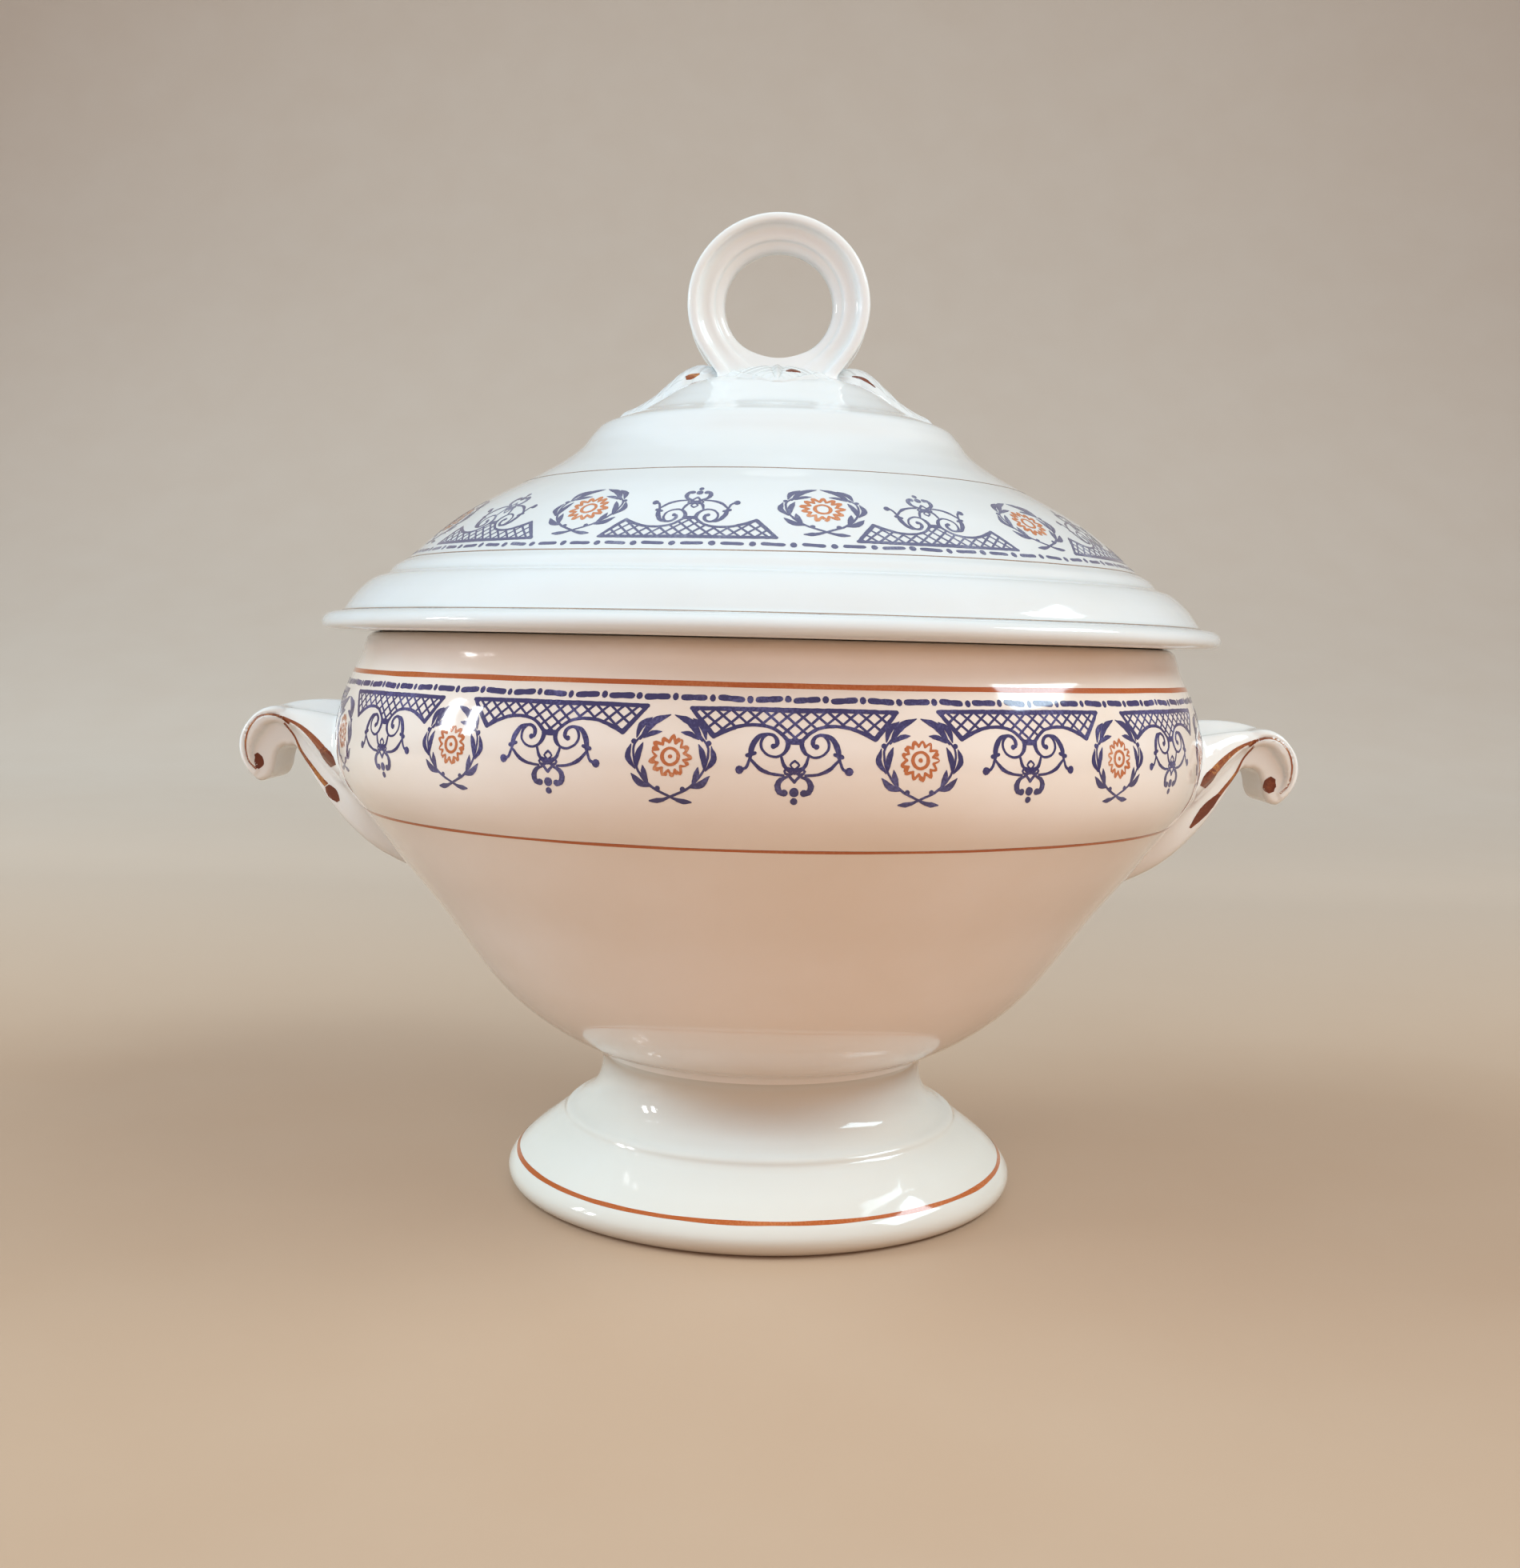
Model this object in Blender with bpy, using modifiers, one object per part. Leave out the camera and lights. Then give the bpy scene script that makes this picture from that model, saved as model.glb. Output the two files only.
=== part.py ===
"""Lidded pedestal tureen: a covered serving bowl in glazed porcelain.

Every clay piece is its own solid: the bowl, its foot, two scroll handles, the lid, the ring
on top of it and four leaves that hide the ring's root.  The origin is the centre of the
circle that the foot stands on, +Z is up and the handles point along -X and +X.
"""
import math

import bmesh
import bpy
from mathutils import Vector

MM = 0.001
GAP = 0.3                       # clearance between pieces that rest or are luted together

# Driving dimensions, in millimetres
LID_RADIUS = 125.0              # outermost edge of the lid's bead
BELLY_RADIUS = 121.4
BELLY_Z = 127.0
BOWL_WALL = 5.0
BOWL_FLOOR = 6.5                # thickness of the bowl's floor over the neck
FLOOR_RADIUS = 34.0             # nearly flat middle of that floor, inside
FLOOR_DISHING = 0.6
SEAT_Z = 155.6                  # top of the bowl's mouth, which carries the lid
MOUTH_LIP = 2.0                 # width of the flat top of the mouth
NECK_RADIUS = 46.4
NECK_Z = 38.4                   # plane where the bowl sits on its foot
FOOT_RADIUS = 72.8
FOOT_WALL = 6.5
FOOT_REST_WIDTH = 5.4           # ring that touches the table
FOOT_REST_DEPTH = 4.0           # height at which the hollow starts above that ring
FLANGE_RADIUS = 107.0           # ring under the lid that drops inside the mouth
FLANGE_DROP = 8.0
FLANGE_WIDTH = 3.8
FLANGE_ROOT = 1.6               # slope between the flange and the lid's seat
LID_WALL = 5.0
CROWN_FOOT_Z = 200.0            # the ring and its leaves stay above this height
RING_RADIUS = 25.4
RING_HALF_WIDTH = 8.0
RING_Z = 250.0
VOLUTE_HALF_WIDTH = 11.0

# Facets around each turned piece
BOWL_STEPS = 48
FOOT_STEPS = 40
RING_STEPS = 32

# Outer outlines as (radius, height), from the top down
BOWL_OUTLINE = [
    (111.2, SEAT_Z), (113.0, 155.1), (113.7, 152.5), (114.5, 149.8), (116.5, 145.4),
    (118.7, 140.4), (120.3, 135.0), (121.2, 131.0), (BELLY_RADIUS, BELLY_Z), (121.0, 122.0),
    (119.6, 116.8), (117.2, 112.3), (114.0, 108.2), (104.3, 95.2), (93.9, 82.2),
    (84.8, 69.6), (79.4, 62.4), (73.0, 55.4), (65.0, 48.8), (56.0, 43.2), (NECK_RADIUS, NECK_Z),
]
FOOT_OUTLINE = [
    (NECK_RADIUS, NECK_Z - GAP), (46.2, 33.0), (46.9, 29.4), (48.9, 25.6), (52.2, 22.3),
    (56.8, 18.6), (62.2, 14.3), (66.4, 11.2), (69.0, 9.2), (71.3, 7.0), (FOOT_RADIUS, 4.4),
    (72.5, 2.2), (71.2, 0.7), (69.4, 0.0),
]
LID_OUTLINE = [
    (0.0, 230.2), (12.0, 229.8), (21.0, 228.4), (28.5, 225.6), (34.5, 221.6), (40.5, 218.0),
    (46.0, 216.0), (49.8, 214.4), (52.0, 212.0), (54.6, 208.6), (59.4, 204.6), (66.0, 200.5),
    (71.7, 197.3), (80.5, 192.6), (88.0, 187.9), (95.2, 182.3), (103.0, 175.4), (105.9, 173.6),
    (107.4, 171.8), (111.4, 170.2), (115.2, 167.0), (119.2, 161.8), (122.6, 160.9),
    (124.5, 159.6), (LID_RADIUS, 158.3), (124.4, 156.8), (122.6, SEAT_Z + GAP),
]

# Half of the ring's section as (radius, distance from its middle plane): the outer face, a
# rolled edge and a cove that slopes in to the hole
RING_SECTION = [
    (RING_RADIUS, 0.0), (RING_RADIUS - 0.2, 6.2), (23.8, RING_HALF_WIDTH), (21.8, 7.8),
    (19.8, 5.4), (16.9, 3.4), (15.5, 1.6),
]

# Scroll handle.  Each edge line runs from the neck of the volute to a point buried in the
# bowl's wall; the rear half mirrors the front one.
CREST = [(141.0, 0, 134.2), (136.5, 0, 135.4), (131.0, 0, 136.1), (125.0, 0, 136.2),
         (119.0, 0, 135.8), (112.0, 0, 135.0)]
VALLEY = [(140.5, 6.0, 133.9), (136.0, 7.0, 134.4), (130.5, 8.5, 134.4), (124.5, 10.0, 134.0),
          (118.5, 11.0, 133.2), (111.0, 11.0, 132.5)]
LOBE = [(139.8, 9.5, 133.2), (135.0, 11.5, 132.6), (129.5, 14.0, 131.0), (123.5, 17.0, 128.8),
        (117.0, 20.0, 126.3), (108.0, 20.0, 125.0)]
UPPER_RIB = [(138.8, 11.0, 132.0), (134.0, 13.0, 129.6), (129.0, 16.0, 126.3),
             (124.0, 19.5, 122.6), (117.5, 23.5, 118.6), (107.0, 24.0, 114.0)]
FLUTE = [(138.0, 10.6, 130.2), (133.4, 10.8, 126.5), (128.6, 12.5, 121.5), (123.4, 14.5, 116.0),
         (115.5, 17.0, 109.0), (100.0, 15.0, 101.0)]
LOWER_RIB = [(137.0, 11.0, 127.5), (133.2, 11.0, 122.8), (128.8, 12.0, 115.5),
             (123.6, 13.0, 108.2), (113.5, 13.0, 97.5), (92.0, 10.0, 86.0)]
KEEL = [(136.6, 0, 124.0), (132.3, 0, 119.2), (127.7, 0, 112.2), (122.4, 0, 104.7),
        (112.0, 0, 94.6), (91.0, 0, 83.5)]

# Side view of the volute as (x, z), clockwise from the neck
VOLUTE_OUTLINE = [
    (136.2, 133.4), (139.5, 134.2), (142.4, 133.8), (145.2, 132.4), (147.6, 130.0),
    (149.5, 127.0), (150.3, 123.6), (150.0, 120.2), (148.8, 117.2), (146.8, 114.6),
    (144.2, 112.8), (141.9, 113.6), (140.4, 116.2), (139.8, 119.4), (138.6, 122.2),
    (136.9, 123.1), (135.2, 122.9), (134.2, 128.0),
]
VOLUTE_EYE = (144.9, 121.2)     # centre of the dish in each end of the volute
DISH_RADIUS = 3.6
DISH_DEPTH = 1.2
VOLUTE_EDGE = 1.2

# Leaves around the ring's root: (radius, half width, height above the lid)
LONG_LEAF = [(17.5, 6.0, 2.6), (21.0, 8.6, 4.6), (25.0, 9.8, 5.0), (30.0, 9.2, 3.6),
             (35.5, 7.4, 2.4), (41.0, 4.6, 1.8), (45.0, 1.2, 1.2)]
SHORT_LEAF = [(10.0, 6.5, 1.6), (13.5, 9.5, 2.6), (18.0, 10.5, 3.0), (23.0, 8.4, 2.2),
              (27.5, 4.6, 1.6), (30.0, 1.2, 1.1)]
LEAF_ARCH = [(-1.0, 0.35), (-0.62, 0.86), (0.0, 1.0), (0.62, 0.86), (1.0, 0.35)]
LEAF_ROOT = 2.0                 # depth that a leaf starts with inside the lid, before the cut

GLAZE_COLOUR = (0.86, 0.85, 0.83, 1.0)
GLAZE_ROUGHNESS = 0.08
SHARP_ANGLE = math.radians(40.0)


def clear_scene():
    for obj in list(bpy.data.objects):
        bpy.data.objects.remove(obj, do_unlink=True)


def new_collection(name):
    collection = bpy.data.collections.new(name)
    bpy.context.scene.collection.children.link(collection)
    return collection


def glaze(name):
    """Glossy white glaze, one copy for each clay piece."""
    material = bpy.data.materials.new(name)
    material.use_nodes = True
    shader = material.node_tree.nodes["Principled BSDF"]
    shader.inputs["Base Color"].default_value = GLAZE_COLOUR
    shader.inputs["Roughness"].default_value = GLAZE_ROUGHNESS
    shader.inputs["Metallic"].default_value = 0.0
    material.diffuse_color = GLAZE_COLOUR
    return material


def add_object(name, mesh, collection, root):
    obj = bpy.data.objects.new(name, mesh)
    collection.objects.link(obj)
    obj.parent = root
    mesh.materials.append(glaze(name + "_glaze"))
    mesh.shade_smooth()
    mesh.set_sharp_from_angle(angle=SHARP_ANGLE)
    return obj


def hide_cutter(obj):
    obj.hide_render = True
    obj.display_type = "WIRE"


def polyline(name, points, closed):
    """Edges through (radius, height) points in millimetres, in the +X half of the XZ plane."""
    mesh = bpy.data.meshes.new(name)
    count = len(points)
    edges = [(i, i + 1) for i in range(count - 1)]
    if closed:
        edges.append((count - 1, 0))
    mesh.from_pydata([(r * MM, 0.0, z * MM) for r, z in points], edges, [])
    return mesh


def turn(obj, steps, axis="Z"):
    """Screw the outline of obj once around the axis."""
    screw = obj.modifiers.new("Turn", "SCREW")
    screw.axis = axis
    screw.angle = math.tau
    screw.steps = steps
    screw.render_steps = steps
    screw.use_merge_vertices = True
    screw.merge_threshold = 0.00001
    return screw


def offset_outline(points, distance):
    """Move an outline that runs from the top down by distance to its right, into the clay."""
    moved = []
    for i, (r, z) in enumerate(points):
        r0, z0 = points[max(i - 1, 0)]
        r1, z1 = points[min(i + 1, len(points) - 1)]
        length = math.hypot(r1 - r0, z1 - z0)
        normal_r = (z0 - z1) / length
        normal_z = (r1 - r0) / length
        radius = max(r - normal_r * distance, 0.0) if r > 0.0 else 0.0
        moved.append((radius, z - normal_z * distance))
    return moved


def boolean(obj, operation, cutter):
    modifier = obj.modifiers.new(operation.title(), "BOOLEAN")
    modifier.operation = operation
    modifier.solver = "EXACT"
    modifier.object = cutter
    return modifier


def loft(name, rings):
    """Closed solid through rings with equal numbers of points, given in millimetres."""
    mesh = bpy.data.meshes.new(name)
    bm = bmesh.new()
    rows = [[bm.verts.new(Vector(point) * MM) for point in ring] for ring in rings]
    for low, high in zip(rows, rows[1:]):
        for i in range(len(low)):
            j = (i + 1) % len(low)
            bm.faces.new((low[i], low[j], high[j], high[i]))
    bm.faces.new(rows[0])
    bm.faces.new(reversed(rows[-1]))
    bmesh.ops.triangulate(bm, faces=[face for face in bm.faces if len(face.verts) > 4])
    bmesh.ops.recalc_face_normals(bm, faces=bm.faces)
    bm.to_mesh(mesh)
    bm.free()
    return mesh


def make_bowl(parts, root):
    floor_z = NECK_Z + BOWL_FLOOR
    wall = [point for point in offset_outline(BOWL_OUTLINE, BOWL_WALL)[1:]
            if point[1] > floor_z + BOWL_WALL / 2.0]
    lip = (BOWL_OUTLINE[0][0] - MOUTH_LIP, SEAT_Z)
    profile = [(0.0, floor_z), (FLOOR_RADIUS, floor_z + FLOOR_DISHING)]
    profile += list(reversed(wall)) + [lip] + BOWL_OUTLINE + [(0.0, NECK_Z)]
    bowl = add_object("bowl_body", polyline("bowl_body", profile, False), parts, root)
    turn(bowl, BOWL_STEPS)
    return bowl


def make_foot(parts, root):
    hollow = [point for point in offset_outline(FOOT_OUTLINE, FOOT_WALL)
              if FOOT_REST_DEPTH < point[1] < NECK_Z - FOOT_WALL]
    rest = (FOOT_OUTLINE[-1][0] - FOOT_REST_WIDTH, 0.0)
    throat = (NECK_RADIUS - FOOT_WALL, NECK_Z - GAP)
    profile = FOOT_OUTLINE + [rest] + list(reversed(hollow)) + [throat]
    foot = add_object("pedestal_foot", polyline("pedestal_foot", profile, True), parts, root)
    turn(foot, FOOT_STEPS)
    return foot


def make_lid(parts, root):
    seat = SEAT_Z + GAP
    inner_radius = FLANGE_RADIUS - FLANGE_WIDTH
    inside = [point for point in offset_outline(LID_OUTLINE, LID_WALL)
              if point[1] > seat + FLANGE_DROP and point[0] < inner_radius - FLANGE_ROOT]
    flange = [(FLANGE_RADIUS + FLANGE_ROOT, seat), (FLANGE_RADIUS, seat - FLANGE_ROOT),
              (FLANGE_RADIUS, SEAT_Z - FLANGE_DROP), (inner_radius, SEAT_Z - FLANGE_DROP),
              (inner_radius - FLANGE_ROOT, seat + FLANGE_ROOT)]
    profile = LID_OUTLINE + flange + list(reversed(inside))
    lid = add_object("lid_shell", polyline("lid_shell", profile, False), parts, root)
    turn(lid, BOWL_STEPS)
    return lid


def make_clearance(name, outline, low_z, steps, cutters):
    """Solid of revolution one gap outside an outline, closed at low_z: what a luted piece clears."""
    outer = offset_outline(outline, -GAP)
    top = [(0.0, outer[0][1])] if outer[0][0] > 0.0 else []
    profile = top + outer + [(0.0, low_z)]
    cutter = bpy.data.objects.new(name, polyline(name, profile, False))
    cutters.objects.link(cutter)
    turn(cutter, steps)
    hide_cutter(cutter)
    return cutter


def volute_mesh(name):
    """The rolled end of a handle: its side view extruded across, with rounded edges."""
    curve = bpy.data.curves.new(name, "CURVE")
    curve.dimensions = "2D"
    curve.fill_mode = "BOTH"
    curve.extrude = (VOLUTE_HALF_WIDTH - VOLUTE_EDGE) * MM
    curve.bevel_depth = VOLUTE_EDGE * MM
    curve.offset = -VOLUTE_EDGE * MM
    curve.bevel_resolution = 1
    spline = curve.splines.new("POLY")
    spline.points.add(len(VOLUTE_OUTLINE) - 1)
    for point, (x, z) in zip(spline.points, VOLUTE_OUTLINE):
        point.co = (x * MM, z * MM, 0.0, 1.0)
    spline.use_cyclic_u = True
    source = bpy.data.objects.new(name, curve)
    bpy.context.scene.collection.objects.link(source)
    source.rotation_euler = (math.radians(90.0), 0.0, 0.0)
    bpy.context.view_layer.update()
    evaluated = source.evaluated_get(bpy.context.evaluated_depsgraph_get())
    mesh = bpy.data.meshes.new_from_object(evaluated)
    mesh.transform(source.matrix_world)
    bpy.data.objects.remove(source, do_unlink=True)
    bm = bmesh.new()
    bm.from_mesh(mesh)
    bmesh.ops.remove_doubles(bm, verts=bm.verts, dist=0.01 * MM)
    bmesh.ops.recalc_face_normals(bm, faces=bm.faces)
    bm.to_mesh(mesh)
    bm.free()
    return mesh


def handle_rings():
    """Sections of the handle's hood, from the volute's neck to inside the bowl's wall."""
    front_lines = (VALLEY, LOBE, UPPER_RIB, FLUTE, LOWER_RIB)
    rings = []
    for i in range(len(CREST)):
        front = [(line[i][0], -line[i][1], line[i][2]) for line in front_lines]
        rear = [(x, -y, z) for x, y, z in reversed(front)]
        rings.append([CREST[i]] + front + [KEEL[i]] + rear)
    return rings


def make_dish(side, cutters):
    """Shallow round dish in one end of the volute; side is -1 for the front, 1 for the rear."""
    mesh = bpy.data.meshes.new("dish")
    bm = bmesh.new()
    depth = 2.0 * DISH_DEPTH
    bmesh.ops.create_cone(bm, cap_ends=True, segments=16, radius1=DISH_RADIUS * MM,
                          radius2=DISH_RADIUS * MM, depth=2.0 * depth * MM)
    bm.to_mesh(mesh)
    bm.free()
    dish = bpy.data.objects.new("dish_cutter", mesh)
    cutters.objects.link(dish)
    offset = side * (VOLUTE_HALF_WIDTH - DISH_DEPTH + depth)
    dish.location = (VOLUTE_EYE[0] * MM, offset * MM, VOLUTE_EYE[1] * MM)
    dish.rotation_euler = (math.radians(90.0), 0.0, 0.0)
    hide_cutter(dish)
    return dish


def make_handle_mesh(bowl_clearance, cutters):
    """One handle, on the +X side: hood and volute joined, dished, and cut clear of the bowl."""
    hood = bpy.data.objects.new("hood", loft("hood", handle_rings()))
    cutters.objects.link(hood)
    volute = bpy.data.objects.new("volute", volute_mesh("volute"))
    cutters.objects.link(volute)
    hide_cutter(volute)
    boolean(hood, "UNION", volute)
    for side in (-1, 1):
        boolean(hood, "DIFFERENCE", make_dish(side, cutters))
    boolean(hood, "DIFFERENCE", bowl_clearance)
    bpy.context.view_layer.update()
    evaluated = hood.evaluated_get(bpy.context.evaluated_depsgraph_get())
    mesh = bpy.data.meshes.new_from_object(evaluated)
    bpy.data.objects.remove(hood, do_unlink=True)
    return mesh


def make_handles(parts, root, bowl_clearance, cutters):
    mesh = make_handle_mesh(bowl_clearance, cutters)
    right = add_object("right_handle", mesh, parts, root)
    left = add_object("left_handle", mesh.copy(), parts, root)
    left.data.materials.clear()
    left.data.materials.append(glaze("left_handle_glaze"))
    left.rotation_euler = (0.0, 0.0, math.pi)
    return left, right


def make_ring(parts, root, lid_clearance):
    """Ring grip: a band turned about the Y axis, cut clear of the lid's crown."""
    section = RING_SECTION + [(r, -y) for r, y in reversed(RING_SECTION[1:])]
    mesh = bpy.data.meshes.new("ring_knob")
    count = len(section)
    mesh.from_pydata([(r * MM, y * MM, 0.0) for r, y in section],
                     [(i, (i + 1) % count) for i in range(count)], [])
    ring = add_object("ring_knob", mesh, parts, root)
    ring.location = (0.0, 0.0, RING_Z * MM)
    turn(ring, RING_STEPS, axis="Y")
    boolean(ring, "DIFFERENCE", lid_clearance)
    return ring


def lid_height(radius):
    for (r0, z0), (r1, z1) in zip(LID_OUTLINE, LID_OUTLINE[1:]):
        if r0 <= radius <= r1:
            return z0 + (z1 - z0) * (radius - r0) / (r1 - r0)
    return LID_OUTLINE[-1][1]


def leaf_rings(stations, azimuth):
    """Sections of a leaf that starts inside the lid's crown and is cut clear of it later."""
    direction = Vector((math.cos(azimuth), math.sin(azimuth), 0.0))
    across = Vector((-direction.y, direction.x, 0.0))
    rings = []
    for radius, half_width, height in stations:
        ring = []
        for share, rise in LEAF_ARCH:
            reach = math.hypot(radius, share * half_width)
            level = lid_height(reach) + height * rise
            ring.append(direction * radius + across * (share * half_width) + Vector((0, 0, level)))
        for share in (1.0, 0.0, -1.0):
            reach = math.hypot(radius, share * half_width)
            level = lid_height(reach) - LEAF_ROOT
            ring.append(direction * radius + across * (share * half_width) + Vector((0, 0, level)))
        rings.append(ring)
    return rings


def make_leaves(parts, root, lid_clearance, ring_cutter):
    leaves = (("right_leaf", LONG_LEAF, 0.0), ("rear_leaf", SHORT_LEAF, 90.0),
              ("left_leaf", LONG_LEAF, 180.0), ("front_leaf", SHORT_LEAF, 270.0))
    for name, stations, degrees in leaves:
        mesh = loft(name, leaf_rings(stations, math.radians(degrees)))
        leaf = add_object(name, mesh, parts, root)
        boolean(leaf, "DIFFERENCE", lid_clearance)
        boolean(leaf, "DIFFERENCE", ring_cutter)


def make_ring_cutter(cutters):
    """Plain band one gap larger than the ring, which trims the leaves around it."""
    mesh = bpy.data.meshes.new("ring_cutter")
    bm = bmesh.new()
    bmesh.ops.create_cone(bm, cap_ends=True, segments=RING_STEPS,
                          radius1=(RING_RADIUS + 2.0 * GAP) * MM,
                          radius2=(RING_RADIUS + 2.0 * GAP) * MM,
                          depth=2.0 * (RING_HALF_WIDTH + GAP) * MM)
    bm.to_mesh(mesh)
    bm.free()
    cutter = bpy.data.objects.new("ring_cutter", mesh)
    cutters.objects.link(cutter)
    cutter.location = (0.0, 0.0, RING_Z * MM)
    cutter.rotation_euler = (math.radians(90.0), 0.0, 0.0)
    hide_cutter(cutter)
    return cutter


def main():
    clear_scene()
    parts = new_collection("covered_tureen")
    cutters = new_collection("cutters")
    bowl_root = bpy.data.objects.new("bowl_root", None)
    lid_root = bpy.data.objects.new("lid_root", None)
    for empty in (bowl_root, lid_root):
        parts.objects.link(empty)
    bowl_clearance = make_clearance("bowl_clearance", BOWL_OUTLINE, NECK_Z, BOWL_STEPS, cutters)
    crown = [point for point in LID_OUTLINE if point[1] > CROWN_FOOT_Z]
    lid_clearance = make_clearance("lid_clearance", crown, CROWN_FOOT_Z, BOWL_STEPS, cutters)
    make_bowl(parts, bowl_root)
    make_foot(parts, bowl_root)
    make_handles(parts, bowl_root, bowl_clearance, cutters)
    make_lid(parts, lid_root)
    make_ring(parts, lid_root, lid_clearance)
    make_leaves(parts, lid_root, lid_clearance, make_ring_cutter(cutters))


main()
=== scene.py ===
"""Finished look of the covered tureen: glazed clay, printed and painted bands, and a studio."""
import math
import random
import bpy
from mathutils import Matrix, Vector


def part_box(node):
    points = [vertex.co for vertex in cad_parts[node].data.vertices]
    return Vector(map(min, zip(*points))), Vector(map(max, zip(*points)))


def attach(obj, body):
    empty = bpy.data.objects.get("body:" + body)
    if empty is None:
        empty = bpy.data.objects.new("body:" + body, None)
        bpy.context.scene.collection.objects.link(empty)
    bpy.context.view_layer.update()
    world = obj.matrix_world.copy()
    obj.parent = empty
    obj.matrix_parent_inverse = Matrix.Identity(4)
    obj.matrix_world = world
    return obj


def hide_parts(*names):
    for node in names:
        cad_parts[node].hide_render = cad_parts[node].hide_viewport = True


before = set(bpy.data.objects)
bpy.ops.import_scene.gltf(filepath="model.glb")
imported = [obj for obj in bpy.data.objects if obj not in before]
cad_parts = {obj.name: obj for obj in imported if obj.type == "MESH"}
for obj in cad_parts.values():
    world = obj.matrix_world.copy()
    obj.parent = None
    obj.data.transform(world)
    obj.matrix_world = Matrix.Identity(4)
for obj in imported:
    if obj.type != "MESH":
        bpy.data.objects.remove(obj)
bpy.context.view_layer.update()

from types import SimpleNamespace

import bmesh
import bpy
import numpy as np
from mathutils import Matrix, Vector, noise
from mathutils.bvhtree import BVHTree
from mathutils.geometry import delaunay_2d_cdt

MM = 0.001

# Heights and radii in millimetres, measured on the frame
SEAT_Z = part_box("bowl_body")[1].z / MM
NECK_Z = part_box("bowl_body")[0].z / MM
BELLY_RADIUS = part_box("bowl_body")[1].x / MM
FOOT_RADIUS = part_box("pedestal_foot")[1].x / MM
LID_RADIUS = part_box("lid_shell")[1].x / MM
CROWN_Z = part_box("lid_shell")[1].z / MM
FLANGE_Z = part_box("lid_shell")[0].z / MM
RING_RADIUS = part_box("ring_knob")[1].x / MM
RING_HALF_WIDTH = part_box("ring_knob")[1].y / MM
RING_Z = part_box("ring_knob")[1].z / MM - RING_RADIUS

BOWL_WALL = 5.0
BOWL_FLOOR = 6.5
LID_WALL = 5.0
FOOT_WALL = 6.5
FLANGE_RADIUS = 107.0
FLANGE_WIDTH = 3.8
AROUND = 256                    # facets round the large turned pieces
SHARP_ANGLE = math.radians(50.0)
ON_AXIS = 1e-6                  # a point nearer to the axis than this is on it

# Where the object is looked at from: in front, a little above its middle
CAMERA_DISTANCE = 0.4781
CAMERA_HEIGHT = 0.1531
CAMERA_PITCH = math.radians(-4.62)
CAMERA_ROLL = math.radians(1.36)
CAMERA_YAW = math.radians(0.255)
CAMERA_LENS = 37.98

# Outer outlines as (radius, height), from the top down, through the same rims and lines as the
# frame; the bowl and its foot are one flowing line, cut at the neck
BODY_OUTLINE = [
    (109.6, SEAT_Z - 0.5), (110.2, SEAT_Z), (111.6, SEAT_Z), (112.6, SEAT_Z - 0.7), (113.2, 154),
    (113.7, 152.5), (114.5, 149.8), (116.5, 145.4), (118.7, 140.4), (120.3, 135), (121.2, 131),
    (BELLY_RADIUS, 127), (121, 122), (119.6, 116.8), (117.2, 112.3), (114, 108.2), (104.3, 95.2),
    (93.9, 82.2), (84.8, 69.6), (79.4, 62.4), (73, 55.4), (65, 48.8), (56, 43.2), (49.4, 40),
    (46.8, 37.2), (46.2, 33), (46.9, 29.4), (48.9, 25.6), (51.8, 23), (54, 21.5), (55.6, 20.8),
    (56.5, 20.1), (56.9, 19.2), (57.6, 18.5), (60, 16.8), (63.2, 14.4), (66.8, 11.6), (69.2, 9.4),
    (71.5, 7), (FOOT_RADIUS, 4.4), (72.5, 2.2), (71.2, 0.7), (69.4, 0),
]
LID_OUTLINE = [
    (0, CROWN_Z), (12, 229.8), (21, 228.4), (28.5, 225.6), (34.5, 221.6), (40.5, 218), (46, 216),
    (49.8, 214.4), (52, 212), (54.6, 208.6), (59.4, 204.6), (66, 200.5), (71.7, 197.3), (80.5, 192.6),
    (88, 187.9), (95.2, 182.3), (103, 175.4), (105.9, 173.6), (107.4, 171.8), (111.4, 170.2),
    (115.2, 167), (118.4, 162.8), (119.2, 161.6), (120.2, 161.1), (122.6, 160.8), (124.5, 159.6),
    (LID_RADIUS, 158.3), (124.4, 156.8), (122.6, SEAT_Z + 0.3),
]


def spline(points, step):
    """Points about step apart on a smooth curve through points; a repeated point is a corner."""
    given = np.array(points, float)
    curve = [given[0]]
    for i in range(len(given) - 1):
        a, b = given[i], given[i + 1]
        chord = np.linalg.norm(b - a)
        if chord == 0.0:
            continue
        before = given[i - 1] if i > 0 and (given[i - 1] != a).any() else 2.0 * a - b
        after = given[i + 2] if i + 2 < len(given) and (given[i + 2] != b).any() else 2.0 * b - a
        lead, tail = np.linalg.norm(a - before), np.linalg.norm(after - b)
        slope_a = (a - before) / lead - (b - before) / (lead + chord) + (b - a) / chord
        slope_b = (b - a) / chord - (after - a) / (chord + tail) + (after - b) / tail
        count = max(1, math.ceil(chord / step))
        for t in np.arange(1, count + 1) / count:
            bend_a = t * (1.0 - t) ** 2 * chord
            bend_b = t * t * (t - 1.0) * chord
            blend = t * t * (3.0 - 2.0 * t)
            curve.append(a + (b - a) * blend + slope_a * bend_a + slope_b * bend_b)
    return np.array(curve)


def normals_2d(line):
    """Unit normals of a line of flat points, to its left; the outside of an outline run downwards."""
    run = np.gradient(line, axis=0)
    normal = np.stack([-run[:, 1], run[:, 0]], axis=1)
    return normal / np.linalg.norm(normal, axis=1)[:, None]


def distances(line):
    """Distance of each point of a line from its start."""
    return np.concatenate([[0.0], np.cumsum(np.linalg.norm(np.diff(line, axis=0), axis=1))])


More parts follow.
